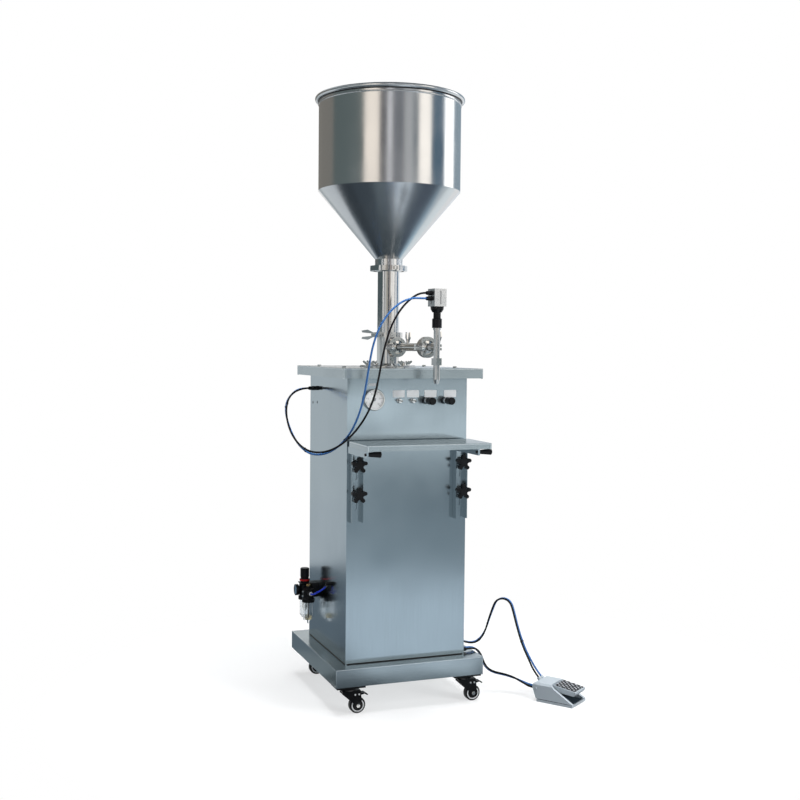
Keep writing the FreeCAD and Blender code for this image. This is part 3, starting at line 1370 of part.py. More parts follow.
# Air hoses hang free between their fittings. Each list holds the corners of one route in the
# frame of the cabinet, and every corner is rounded by an arc as large as its two runs allow.
DEEP = SIZES["cabinet_deep"]
HOSES = {
    "loop_hose_black": [
        (-213, DEEP - 81, 970), (-231, DEEP - 81.5, 970), (-257, DEEP - 89, 966), (-284, 287, 956),
        (-308, 255, 939),
        (-328, 207, 913), (-339, 157, 879), (-340, 104, 841), (-329, 52, 809), (-308, 0, 791),
        (-274, -52, 795), (-238, -91, 821), (-204, -116, 862), (-175, -128, 910), (-155, -133, 962),
        (-143, -134, 1017), (-133, -134, 1073), (-120, -134, 1128), (-100, -133, 1179),
        (-72, -130.5, 1221), (-41, -131.5, 1250), (-15.6, -133.2, 1263.5), (2.3, -130.9, 1264),
    ],
    "loop_hose_blue": [
        (-213, DEEP - 37, 968), (-231, DEEP - 37.5, 968), (-257, DEEP - 45, 962), (-283, 326, 945),
        (-307, 284, 926),
        (-324, 230, 899), (-331, 172, 866), (-330, 116, 831), (-321, 64, 801), (-303, 16, 783),
        (-273, -28, 786), (-243, -68, 811), (-216, -98, 853), (-199, -118, 903), (-188, -130, 954),
        (-181, -137, 1006), (-175, -142, 1057), (-166, -145, 1109), (-149, -147, 1159),
        (-120, -147, 1203), (-82, -145, 1235), (-45, -139.5, 1247.5), (-15.6, -133.2, 1248),
        (2.3, -130.9, 1248),
    ],
    "arch_hose_black": [
        (213, 134, 153), (235, 134, 152), (260, 136.5, 143), (284, 140, 136), (306, 142.5, 137.5),
        (323, 142, 151), (334, 137, 176), (341, 128.5, 213), (349, 120, 248), (357.5, 111.5, 278),
        (375.4, 92.7, 289), (391.5, 72.4, 278.5), (397, 60, 247), (401.5, 48.5, 212), (406.5, 34, 176),
        (412.5, 16, 141), (420, -7, 109), (425.6, -32.5, 77.3), (435.9, -46.8, 59.6),
    ],
    "arch_hose_blue": [
        (213, 150, 153), (235, 150, 151), (261, 149.5, 142), (284, 148.5, 136), (306, 149.5, 137.5),
        (325, 149, 151), (338, 143.5, 176), (346, 135, 213), (355.5, 126.5, 248), (364, 118, 278),
        (382, 98.7, 289), (398, 78.2, 278.5), (403.5, 66, 247), (408, 54.5, 212), (413.5, 40, 176),
        (420, 22, 141), (429, 1, 109), (440.2, -21.9, 77.3), (450.5, -36.3, 59.6),
    ],
    "floor_hose_black": [
        (213, 20, 153), (232, 22, 154), (254, 28, 147), (271, 33, 127), (281, 35, 101), (295, 34, 79),
        (317, 28, 67), (344, 16, 62), (370, -5, 54), (388, -32, 43), (398.2, -56.1, 36.5),
        (408.75, -70.7, 36),
    ],
    "floor_hose_blue": [
        (213, 36, 153), (232, 37, 154), (254, 41, 147), (271, 44, 127), (281, 45, 101), (295, 44, 77),
        (317, 39, 63), (345, 27, 57), (373, 8, 50), (394, -15, 42), (409, -40, 36.5), (423.4, -60.2, 36),
    ],
    "lubricator_tube": [
        (-231, DEEP - 141, 310), (-231, DEEP - 161, 311), (-224, DEEP - 180, 321),
        (-213, DEEP - 198, 332), (-207, DEEP - 216.4, 343.4), (-207, DEEP - 233.2, 354.4),
    ],
}
BEND_SHARE = 0.45


def route(points):
    """Straight runs joined by tangent arcs, and the radius of each arc."""
    corners = [FreeCAD.Vector(*point) for point in points]
    edges, radii, last = [], [], corners[0]
    for before, corner, after in zip(corners, corners[1:], corners[2:]):
        back, ahead = before - corner, after - corner
        half_turn = (math.pi - back.getAngle(ahead)) / 2
        reach = BEND_SHARE * min(back.Length, ahead.Length)
        radius = reach / math.tan(half_turn)
        back.normalize()
        ahead.normalize()
        start, end = corner + back * reach, corner + ahead * reach
        inward = back + ahead
        inward.normalize()
        middle = corner + inward * (radius / math.cos(half_turn) - radius)
        edges.append(Part.LineSegment(last, start).toShape())
        edges.append(Part.Arc(start, middle, end).toShape())
        radii.append(radius)
        last = end
    edges.append(Part.LineSegment(last, corners[-1]).toShape())
    return Part.Wire(edges), radii


hoses = []
for label, points in HOSES.items():
    path, radii = route(points)
    first_run = FreeCAD.Vector(*points[1]) - FreeCAD.Vector(*points[0])
    section = Part.Circle(FreeCAD.Vector(*points[0]), first_run, SIZES["hose_radius"])
    tube = path.makePipeShell([Part.Wire([section.toShape()])], True, False)
    hose = doc.addObject("Part::Feature", label + "_shape")
    hose.Shape = tube
    hoses.append(node(hose, label, ("0", "0", "0")))
    due = math.pi * SIZES["hose_radius"] ** 2 * path.Length
    found = (label, path.Length, min(radii), tube.Volume / due)
    print("%s: %.0f mm long, least radius %.0f mm, volume %.4f of due" % found)

# The script ends by checking every sub-part and writing one file for each.
doc.recompute()
faults = [thing.Name for thing in doc.Objects if "Invalid" in thing.State or "Error" in thing.State]
for thing in nodes:
    if thing.Shape.isNull() or not thing.Shape.isValid() or not thing.Shape.Solids:
        faults.append(thing.Label)
if faults:
    raise RuntimeError("these objects failed: " + ", ".join(faults))
os.makedirs("parts", exist_ok=True)
for thing in nodes:
    thing.Shape.exportStep("parts/%s.step" % thing.Label)
whole = FreeCAD.BoundBox()
for thing in nodes:
    if thing not in hoses:
        whole.add(thing.Shape.BoundBox)
print("without hoses: x %.3f %.3f, y %.3f %.3f, z %.3f %.3f" % (
    whole.XMin, whole.XMax, whole.YMin, whole.YMax, whole.ZMin, whole.ZMax))
print(len(nodes), "sub-parts written")
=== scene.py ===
import math

import bpy
import numpy as np
from mathutils import Matrix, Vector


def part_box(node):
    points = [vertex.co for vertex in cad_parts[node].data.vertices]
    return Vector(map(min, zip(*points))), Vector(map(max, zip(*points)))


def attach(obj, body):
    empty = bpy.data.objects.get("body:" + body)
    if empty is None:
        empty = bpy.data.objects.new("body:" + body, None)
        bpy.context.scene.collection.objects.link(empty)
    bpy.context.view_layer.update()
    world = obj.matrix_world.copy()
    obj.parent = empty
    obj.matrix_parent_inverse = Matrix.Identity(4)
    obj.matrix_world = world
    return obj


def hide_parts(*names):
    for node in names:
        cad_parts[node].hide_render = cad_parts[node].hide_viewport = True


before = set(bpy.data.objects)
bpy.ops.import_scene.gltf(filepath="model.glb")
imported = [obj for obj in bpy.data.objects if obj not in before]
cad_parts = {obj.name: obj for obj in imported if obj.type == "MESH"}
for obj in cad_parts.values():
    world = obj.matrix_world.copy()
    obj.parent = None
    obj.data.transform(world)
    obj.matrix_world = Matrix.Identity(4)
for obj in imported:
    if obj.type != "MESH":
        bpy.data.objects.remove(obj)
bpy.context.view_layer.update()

# The machine is measured from its middle and from the cabinet's front face, in metres,
# with the floor as height nought. The base box reaches base_ahead in front of that face.
base_low, base_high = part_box("base_box")
base_ahead = 0.048
stand = np.array([(base_low.x + base_high.x) / 2, base_low.y + base_ahead, 0.0])


# Base box, cabinet, door, table, tray and brackets are folded from stainless sheet.
# The sheet comes with a fine straight grain from the mill and is cool grey, with faint
# cloudy patches where it was wiped.
def blank_finish(name):
    """A new material with its node tree and its main shader."""
    finish = bpy.data.materials.new(name)
    finish.use_nodes = True
    return finish, finish.node_tree, finish.node_tree.nodes["Principled BSDF"]


def surface_noise(tree, scale, detail=2.0, run=None):
    """Noise at the piece's own points, which a run given for the three axes draws out."""
    place = tree.nodes.new("ShaderNodeTexCoord").outputs["Object"]
    if run:
        stretch = tree.nodes.new("ShaderNodeMapping")
        stretch.inputs["Scale"].default_value = run
        tree.links.new(place, stretch.inputs["Vector"])
        place = stretch.outputs["Vector"]
    noise = tree.nodes.new("ShaderNodeTexNoise")
    noise.inputs["Scale"].default_value = scale
    noise.inputs["Detail"].default_value = detail
    tree.links.new(place, noise.inputs["Vector"])
    return noise.outputs["Fac"]


def between(tree, value, low, high, from_low=0.0, from_high=1.0):
    """The value, mapped evenly from its own range to the range from low to high."""
    spread = tree.nodes.new("ShaderNodeMapRange")
    spread.inputs["From Min"].default_value = from_low
    spread.inputs["From Max"].default_value = from_high
    spread.inputs["To Min"].default_value = low
    spread.inputs["To Max"].default_value = high
    tree.links.new(value, spread.inputs["Value"])
    return spread.outputs["Result"]


def ripple(tree, shader, height, strength, distance):
    """Lets the height of a noise tilt the light on the surface."""
    bump = tree.nodes.new("ShaderNodeBump")
    bump.inputs["Strength"].default_value = strength
    bump.inputs["Distance"].default_value = distance
    tree.links.new(height, bump.inputs["Height"])
    tree.links.new(bump.outputs["Normal"], shader.inputs["Normal"])


def grained_sheet(name, colour, roughness, grain, run):
    """Steel whose tone follows noise drawn out along the run, and its roughness a soft cloud."""
    finish, tree, shader = blank_finish(name)
    shader.inputs["Metallic"].default_value = 1.0
    hair = surface_noise(tree, 1.0, 3.0, run)
    tint = tree.nodes.new("ShaderNodeVectorMath")
    tint.operation = "SCALE"
    tint.inputs[0].default_value = colour
    tree.links.new(between(tree, hair, 1.0 - grain, 1.0 + grain, 0.3, 0.7), tint.inputs["Scale"])
    tree.links.new(tint.outputs["Vector"], shader.inputs["Base Color"])
    cloud = surface_noise(tree, 5.0)
    uneven = 0.05
    polish = between(tree, cloud, roughness - uneven, roughness + uneven, 0.3, 0.7)
    tree.links.new(polish, shader.inputs["Roughness"])
    ripple(tree, shader, hair, 0.06, 0.0005)
    return finish


def dress(node, finish):
    """Gives a CAD node's own object the finish."""
    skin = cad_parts[node].data
    skin.materials.clear()
    skin.materials.append(finish)


standing_grain = (700.0, 700.0, 8.0)
lying_grain = (8.0, 700.0, 700.0)
cabinet_sheet = grained_sheet("cabinet_sheet", (0.42, 0.49, 0.53), 0.175, 0.03, standing_grain)
table_sheet = grained_sheet("table_sheet", (0.46, 0.52, 0.545), 0.22, 0.03, lying_grain)
for node in ("cabinet_shell", "rear_door", "tray_brackets"):
    dress(node, cabinet_sheet)
for node in ("base_box", "table_top", "tray"):
    dress(node, table_sheet)


# The hopper is spun and rolled from thinner sheet and brushed on the lathe.
# Its neck, rim and wired edge are ground bright, and the wall shows broad soft bands.
hopper_sheet = grained_sheet("hopper_sheet", (0.72, 0.73, 0.74), 0.2, 0.03, (40.0, 40.0, 1200.0))
dress("hopper", hopper_sheet)


# Pipe work, clamps, nozzle and fasteners are turned from stainless bar and polished.
# The polish is close to a mirror, with a trace of softness from the buffing wheel.
def polished(name, colour, roughness):
    """Bare metal with a constant colour and an uneven polish."""
    finish, tree, shader = blank_finish(name)
    shader.inputs["Base Color"].default_value = (*colour, 1.0)
    shader.inputs["Metallic"].default_value = 1.0
    buffing = surface_noise(tree, 60.0)
    tree.links.new(between(tree, buffing, roughness * 0.7, roughness * 1.3), shader.inputs["Roughness"])
    return finish


bright_steel = polished("bright_steel", (0.7, 0.7, 0.69), 0.12)
for node in ("feed_tube", "valve_body", "outlet_pipe", "nozzle_body", "nozzle_tip", "pipe_clamps",
             "table_fasteners", "metering_barrel", "piston_and_rod", "cutoff_plunger",
             "panel_bushes", "toggle_left", "toggle_right", "gauge_case", "door_latch"):
    dress(node, bright_steel)
satin_aluminium = polished("satin_aluminium", (0.72, 0.73, 0.74), 0.3)
for node in ("drive_cylinder", "nozzle_cylinder"):
    dress(node, satin_aluminium)


# The foot valve is a die casting under smooth grey enamel. Knobs, fittings and the air unit
# are moulded in black plastic, and the casters' plates, forks and levers stove painted black.
def coated(name, colour, roughness):
    """An opaque coat or plastic with a slight orange peel."""
    finish, tree, shader = blank_finish(name)
    shader.inputs["Base Color"].default_value = (*colour, 1.0)
    shader.inputs["Roughness"].default_value = roughness
    shader.inputs["Specular IOR Level"].default_value = 0.25
    ripple(tree, shader, surface_noise(tree, 400.0), 0.1, 0.0003)
    return finish


grey_enamel = coated("grey_enamel", (0.44, 0.49, 0.53), 0.32)
for node in ("foot_valve_body", "pedal"):
    dress(node, grey_enamel)
black_moulding = coated("black_moulding", (0.006, 0.006, 0.007), 0.3)
for node in ("gland_adapter", "push_in_fittings", "gauge_needle", "regulator_gauge", "regulator_knob",
             "air_unit_body", "air_unit_bracket", "arm_knob_left", "arm_knob_right", "speed_knob_left",
             "speed_knob_right", "star_knob_left_high", "star_knob_left_low", "star_knob_right_high",
             "star_knob_right_low"):
    dress(node, black_moulding)
black_paint = coated("black_paint", (0.007, 0.007, 0.008), 0.26)
tread = coated("tread", (0.01, 0.01, 0.011), 0.5)
for corner in ("front_left", "front_right", "rear_left", "rear_right"):
    dress("fork_" + corner, black_paint)
    dress("wheel_" + corner, tread)
for node in ("caster_plates", "brake_lever_front_left", "brake_lever_front_right"):
    dress(node, black_paint)


# A thin black bead runs round the foot of the cabinet, where it is bolted to the base. It is painted shade:
# it stands in for the shadow in that joint and shows as a thin dark line.
def add_piece(name, shape, body):
    """Puts a shape in the scene as a piece that rides the body."""
    piece = bpy.data.objects.new(name, shape)
    bpy.context.scene.collection.objects.link(piece)
    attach(piece, body)
    return piece


def skin_over(name, rings, finish, body, closed=False):
    """Joins rings of equal count, point by point and each ring round to its own start.
    Open rows end in a fan to the mean of their last ring; closed rows meet the first again."""
    rows, around = rings.shape[:2]
    total = rows * around
    here = np.arange(around)
    beside = np.roll(here, -1)
    starts = np.arange(rows if closed else rows - 1)[:, None] * around
    ends = (starts + around) % total
    quads = np.stack([starts + here, starts + beside, ends + beside, ends + here], -1).reshape(-1, 4)
    points = rings.reshape(-1, 3) + stand
    fans = np.zeros((0, 3), int)
    if not closed:
        points = np.vstack([points, points[:around].mean(0), points[-around:].mean(0)])
        foot_fan = np.column_stack([np.full(around, total), beside, here])
        last = total - around
        head_fan = np.column_stack([np.full(around, total + 1), last + here, last + beside])
        fans = np.vstack([foot_fan, head_fan])
    thirds = np.vstack([quads[:, :3], quads[:, [0, 2, 3]], fans])
    spans = points[thirds] - points[0]
    held = np.einsum("ij,ij->", spans[:, 0], np.cross(spans[:, 1], spans[:, 2]))
    if held < 0:
        quads, fans = quads[:, ::-1], fans[:, ::-1]
    shape = bpy.data.meshes.new(name)
    shape.from_pydata(points.tolist(), [], quads.tolist() + fans.tolist())
    shape.shade_smooth()
    shape.set_sharp_from_angle(angle=math.radians(32))
    shape.materials.append(finish)
    return add_piece(name, shape, body)


def squared_loop(half_long, half_high, sharpness, count=96):
    """A superellipse: each of cosine and sine keeps its sign and is raised to two over the sharpness."""
    turn = np.linspace(0, 2 * math.pi, count, endpoint=False) + math.pi / count
    bent = 2 / sharpness
    return np.column_stack([half_long * np.sign(np.cos(turn)) * np.abs(np.cos(turn)) ** bent,
                            half_high * np.sign(np.sin(turn)) * np.abs(np.sin(turn)) ** bent])


def stacked(rows, axis):
    """Flat loops, each with its own level put in as the coordinate of the axis."""
    return np.array([np.insert(loop, axis, level, axis=1) for level, loop in rows])


cabinet_half_wide, cabinet_half_deep = 0.195, 0.1975
bead_in, bead_out, bead_low, bead_high = -0.0002, 0.0012, 0.0001, 0.0028
bead_rows = []
for grown, height in ((bead_in, bead_low), (bead_out, bead_low),
                      (0.4 * bead_out, bead_high), (bead_in, bead_high)):
    foot_loop = squared_loop(cabinet_half_wide + grown, cabinet_half_deep + grown, 60.0, 240)
    bead_rows.append((base_high.z + height, foot_loop + (0.0, cabinet_half_deep)))
skin_over("cabinet_foot_shade_line", stacked(bead_rows, 2), black_moulding, "machine", closed=True)


# The sheet is bent over a small radius at each fold of base, table and tray. Rods along the folds carry a
# paler, bluer steel than the sheet, a painted highlight that shows each fold as a fine bright line where it
# turns from one face to the next.
fold_radius, fold_proud = 0.0024, 0.00015
fold_highlight_steel = polished("fold_highlight_steel", (0.82, 0.86, 0.88), 0.19)


def folds(name, node, reach, body):
    """Rods along the four upper edges and down the four corners of a box: each point of a circle,
    moved to the rod's start and to its end. The rods stand proud of both faces by the same amount."""
    low, high = (np.array(corner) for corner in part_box(node))
    low, high = low + fold_radius - fold_proud, high - fold_radius + fold_proud
    crest = np.array([(low[0], low[1]), (high[0], low[1]), (high[0], high[1]), (low[0], high[1])])
    upper = np.column_stack([crest, np.full(4, high[2])])
    begins = np.vstack([upper, upper - (0.0, 0.0, reach)])
    ends = np.vstack([np.roll(upper, -1, axis=0), upper])
    along = (ends - begins) / np.linalg.norm(ends - begins, axis=1)[:, None]
    side = np.where(np.abs(along[:, 2:]) > 0.5, (1.0, 0.0, 0.0), (0.0, 0.0, 1.0))
    other = np.cross(along, side)
    around = 16
    turn = np.linspace(0, 2 * math.pi, around, endpoint=False)[None, :, None]
    circle = fold_radius * (np.cos(turn) * side[:, None] + np.sin(turn) * other[:, None])
    points = np.stack([begins[:, None] + circle, ends[:, None] + circle], 1).reshape(-1, 3)
    here = np.arange(around)
    beside = np.roll(here, -1)
    wall = np.column_stack([here, here + around, beside + around, beside])
    firsts = np.arange(len(begins))[:, None] * 2 * around
    walls = (firsts[:, :, None] + wall).reshape(-1, 4)
    caps = np.vstack([firsts + here, firsts + around + here[::-1]])
    shape = bpy.data.meshes.new(name)
    shape.from_pydata(points.tolist(), [], walls.tolist() + caps.tolist())
    shape.shade_smooth()
    shape.set_sharp_from_angle(angle=math.radians(50))
    shape.materials.append(fold_highlight_steel)
    add_piece(name, shape, body)


folds("base_folds", "base_box", 0.054, "machine")
folds("table_folds", "table_top", 0.029, "machine")
folds("tray_folds", "tray", 0.0165, "tray")


# The pressure gauge has a white enamelled dial with black strokes and plain numbers,
# behind a flat glass that the bezel holds.
def turned(name, profile, centre, axis, finish, body, closed=False, count=48):
    """Each point of the profile, a radius and a way along the axis, goes round the axis:
    centre plus way times axis plus radius times the cosine and sine of two square directions."""
    axis = np.array(axis, float)
    side = np.cross(axis, (0.0, 0.0, 1.0) if abs(axis[2]) < 0.9 else (1.0, 0.0, 0.0))
    side /= np.linalg.norm(side)
    other = np.cross(axis, side)
    turn = np.linspace(0, 2 * math.pi, count, endpoint=False)
    wheel = np.cos(turn)[:, None] * side + np.sin(turn)[:, None] * other
    profile = np.array(profile, float)
    rings = (np.array(centre) + profile[:, 1, None, None] * axis
             + profile[:, 0, None, None] * wheel[None, :, :])
    skin_over(name, rings, finish, body, closed)


def strokes(name, middles, along, across, out, finish, body):
    """Flat bars: each middle plus or minus its own half length and half width, once at the
    middle's own level and once moved by out."""
    signs = np.array([(-1, -1, 0), (1, -1, 0), (1, 1, 0), (-1, 1, 0),
                      (-1, -1, 1), (1, -1, 1), (1, 1, 1), (-1, 1, 1)])
    corners = (middles[:, None] + signs[:, 0:1] * along[:, None] + signs[:, 1:2] * across[:, None]
               + signs[:, 2:3] * np.array(out) + stand)
    sides = np.array([(0, 3, 2, 1), (4, 5, 6, 7), (0, 1, 5, 4), (1, 2, 6, 5), (2, 3, 7, 6), (3, 0, 4, 7)])
    if np.dot(np.cross(along[0], across[0]), out) < 0:
        sides = sides[:, ::-1]
    faces = (np.arange(len(middles))[:, None, None] * len(signs) + sides).reshape(-1, 4)
    shape = bpy.data.meshes.new(name)
    shape.from_pydata(corners.reshape(-1, 3).tolist(), [], faces.tolist())
    shape.materials.append(finish)
    add_piece(name, shape, body)


forward = (0.0, -1.0, 0.0)
gauge_middle, gauge_floor = np.array([-0.112, 0.0, 0.946]), -0.005
dial_radius, dial_thick = 0.0285, 0.0005
white_enamel = coated("white_enamel", (0.88, 0.89, 0.88), 0.4)
dial_ink = coated("dial_ink", (0.01, 0.01, 0.012), 0.5)
dial_at = gauge_middle + (0.0, gauge_floor - 0.0001, 0.0)
turned("gauge_dial", [(dial_radius, 0), (dial_radius, dial_thick)], dial_at, forward,
       white_enamel, "machine")
scale_start, scale_end, stroke_count, stroke_rim = 225, -45, 51, 0.0265
sweep = np.radians(np.linspace(scale_start, scale_end, stroke_count))
level_row = np.zeros(stroke_count)
spoke = np.column_stack([np.cos(sweep), level_row, np.sin(sweep)])
crosswise = np.column_stack([-np.sin(sweep), level_row, np.cos(sweep)])
fifth = np.arange(stroke_count) % 5 == 0
half_long = np.where(fifth, 0.0019, 0.001)[:, None]
half_thin = np.where(fifth, 0.0006, 0.0003)[:, None]
ink_face = dial_at + (0.0, -dial_thick - 0.00005, 0.0)
strokes("gauge_strokes", ink_face + spoke * (stroke_rim - half_long), spoke * half_long,
        crosswise * half_thin, (0.0, -0.00015, 0.0), dial_ink, "machine")
number_ring, number_size, number_proud = 0.0185, 0.0062, 0.00008
for step in range(0, 11, 2):
    lean = math.radians(scale_start + (scale_end - scale_start) * step / 10)
    letter = bpy.data.curves.new("number_%d" % step, "FONT")
    letter.body, letter.size, letter.extrude = str(step), number_size, number_proud
    letter.align_x, letter.align_y = "CENTER", "CENTER"
    drawn = bpy.data.objects.new("number_%d_draft" % step, letter)
    bpy.context.scene.collection.objects.link(drawn)
    bpy.context.view_layer.update()
    figure = bpy.data.meshes.new_from_object(drawn.evaluated_get(bpy.context.evaluated_depsgraph_get()))
    bpy.data.objects.remove(drawn)
    written_at = stand + ink_face + (number_ring * math.cos(lean), -0.0001, number_ring * math.sin(lean))
    figure.transform(Matrix.Translation(written_at.tolist()) @ Matrix.Rotation(math.radians(90), 4, "X"))
    figure.materials.clear()
    figure.materials.append(dial_ink)
    add_piece("gauge_number_%d" % step, figure, "machine")


# Gauge glass and the two bowls of the air unit are clear, the bowls moulded in plastic,
# one for water and one for oil. They are thin walled, so light goes through with little tint.
def clear(name, colour, roughness):
    """Glass or clear plastic that lets nearly all light through."""
    finish, _, shader = blank_finish(name)
    shader.inputs["Base Color"].default_value = (*colour, 1.0)
    shader.inputs["Roughness"].default_value = roughness
    shader.inputs["Transmission Weight"].default_value = 0.97
    shader.inputs["IOR"].default_value = 1.3
    return finish


gauge_glass = clear("gauge_glass", (0.97, 0.98, 0.99), 0.02)
glass_at = gauge_middle + (0.0, -0.0118, 0.0)
turned("gauge_window", [(0.0288, 0), (0.0288, 0.001), (0.0275, 0.0016)], glass_at, forward,
       gauge_glass, "machine")
bowl_clear = clear("bowl_clear", (0.86, 0.89, 0.91), 0.05)
dress("clear_bowls", bowl_clear)


# Five bare aluminium plates are riveted over the gauge, the switches and the flow knobs.
# They are stamped from thin sheet with round corners and carry no writing.
plate_finish = coated("plate_finish", (0.9, 0.92, 0.93), 0.4)
plate_thick, plate_bevel = 0.0006, 0.0003
plate_edges = [(-0.127, -0.104, 0.987, 0.995), (-0.050, -0.012, 0.952, 0.974), (-0.004, 0.035, 0.952, 0.974),
               (0.053, 0.093, 0.952, 0.974), (0.118, 0.159, 0.952, 0.974)]
for count, (left, right, low, high) in enumerate(plate_edges):
    plate_rows = []
    for shrink, out in ((0.0, 0.0001), (0.0, plate_thick * 0.6), (plate_bevel, plate_thick)):
        plate_loop = squared_loop((right - left) / 2 - shrink, (high - low) / 2 - shrink, 14.0)
        plate_rows.append((-out, plate_loop + ((left + right) / 2, (low + high) / 2)))
    skin_over("bare_plate_%d" % (count + 1), stacked(plate_rows, 1), plate_finish, "machine")


# Casters have a pale ring pressed into each face of the wheel, a bright nut on each end of
# the axle and two bright rivets high on each cheek of the fork.
pale_plastic = coated("pale_plastic", (0.85, 0.86, 0.87), 0.4)
rivet_steel = polished("rivet_steel", (0.9, 0.9, 0.9), 0.4)
ring_profile = [(0.0160, 0.0088), (0.0198, 0.0088), (0.0194, 0.0104), (0.0164, 0.0104)]
fork_face, rivet_rise, rivet_ways = 0.0135, 0.034, (-0.0095, 0.003)
nut_profile = [(0.0062, fork_face + 0.0001), (0.0062, fork_face + 0.0028), (0.0052, fork_face + 0.0034)]
rivet_profile = [(0.0028, fork_face + 0.0001), (0.0028, fork_face + 0.0008), (0.0015, fork_face + 0.0014)]
left_wheels_x, right_wheels_x = -0.16295, 0.21705
front_wheels_y, rear_wheels_y, wheel_height = -0.015, 0.416, 0.025
wheel_places = {
    "front_left": (left_wheels_x, front_wheels_y), "front_right": (right_wheels_x, front_wheels_y),
    "rear_left": (left_wheels_x, rear_wheels_y), "rear_right": (right_wheels_x, rear_wheels_y),
}
for corner, wheel_place in wheel_places.items():
    hub = np.array([*wheel_place, wheel_height])
    for label, way in (("near", -1.0), ("far", 1.0)):
        axle = (0.0, way, 0.0)
        turned("wheel_ring_%s_%s" % (corner, label), ring_profile, hub, axle, pale_plastic,
               "wheel_" + corner, closed=True)
        turned("axle_nut_%s_%s" % (corner, label), nut_profile, hub, axle, bright_steel,
               "fork_" + corner, count=6)
        for count, rivet_way in enumerate(rivet_ways):
            turned("fork_rivet_%s_%s_%d" % (corner, label, count + 1), rivet_profile,
                   hub + (rivet_way, 0.0, rivet_rise), axle, rivet_steel,
                   "fork_" + corner, count=20)


# The regulator has a red locking ring under its knob, and its gauge a pale blue face. Brass
# closes the oil filler and bright plugs the spare ports; a pale collar grips the blue tube.
red_plastic = coated("red_plastic", (0.6, 0.012, 0.016), 0.35)
blue_face = coated("blue_face", (0.17, 0.3, 0.42), 0.3)
brass = polished("brass", (0.62, 0.42, 0.18), 0.25)
upward, leftward = (0.0, 0.0, 1.0), (-1.0, 0.0, 0.0)
bowl_x, water_y, oil_y, body_side_x = -0.23105, 0.326, 0.282, -0.2476
small_gauge, tube_port = (-0.2611, 0.326, 0.311), (-0.231, 0.254, 0.310)
turned("regulator_ring", [(0.0156, 0.3402), (0.0168, 0.3402), (0.0168, 0.3452), (0.0156, 0.3452)],
       (bowl_x, water_y, 0.0), upward, red_plastic, "machine", closed=True)
turned("air_gauge_face", [(0.0154, 0.0), (0.0154, 0.0004)], small_gauge, leftward,
       blue_face, "machine")
turned("oil_plug", [(0.0074, 0.3311), (0.0074, 0.3348), (0.0056, 0.3368)], (bowl_x, oil_y, 0.0), upward,
       brass, "machine")
for name, height in (("body_plug_high", 0.3125), ("body_plug_low", 0.2985)):
    turned(name, [(0.0042, 0.0), (0.0042, 0.0036), (0.003, 0.0044)], (body_side_x, oil_y, height), leftward,
           bright_steel, "machine")
turned("tube_collar", [(0.0034, 0.0002), (0.0062, 0.0002), (0.0058, 0.0040), (0.0034, 0.0040)],
       tube_port, forward, pale_plastic, "machine", closed=True)


# The water bowl holds a white filter on a stem, and the oil bowl a pick-up tube that stands
# in a little amber oil. Both hang from the unit's body inside the clear bowls.
filter_white = coated("filter_white", (0.8, 0.8, 0.76), 0.5)
amber_oil = clear("amber_oil", (0.9, 0.74, 0.42), 0.05)
turned("bowl_filter", [(0.003, 0.2785), (0.008, 0.2785), (0.008, 0.2500), (0.005, 0.2460), (0.0025, 0.2400)],
       (bowl_x, water_y, 0.0), upward, filter_white, "machine")
turned("pick_up_tube", [(0.0022, 0.2785), (0.0022, 0.2260)], (bowl_x, oil_y, 0.0), upward,
       black_moulding, "machine")
turned("bowl_oil", [(0.0110, 0.2330), (0.0110, 0.2280), (0.0085, 0.2220)], (bowl_x, oil_y, 0.0), upward,
       amber_oil, "machine")


# A black inlet block closes the gap between the air unit and the cabinet wall.
# It is screwed to the wall and carries the unit's supply through it.
block_x, block_y, block_z = -0.2055, 0.324, 0.311
block_half_long, block_half_high, block_reach, block_bevel = 0.027, 0.0235, 0.0098, 0.0015
block_rows = []
for shrink, out in ((0.0, -block_reach), (0.0, block_reach * 0.8), (block_bevel, block_reach)):
    block_loop = squared_loop(block_half_long - shrink, block_half_high - shrink, 7.0)
    block_rows.append((block_x - out, block_loop + (block_y, block_z)))
skin_over("air_inlet_block", stacked(block_rows, 0), black_moulding, "machine")


# The rim of the hopper is rolled over a wire. Just under the roll a thin black ring runs round the wall
# as painted shadow, the shade that the wired edge casts.
hopper_y = 0.184
turned("painted_rim_shadow", [(0.2252, 1.8735), (0.2276, 1.8735), (0.2276, 1.8762), (0.2252, 1.8762)],
       (0.0, hopper_y, 0.0), upward, black_moulding, "machine", closed=True, count=160)


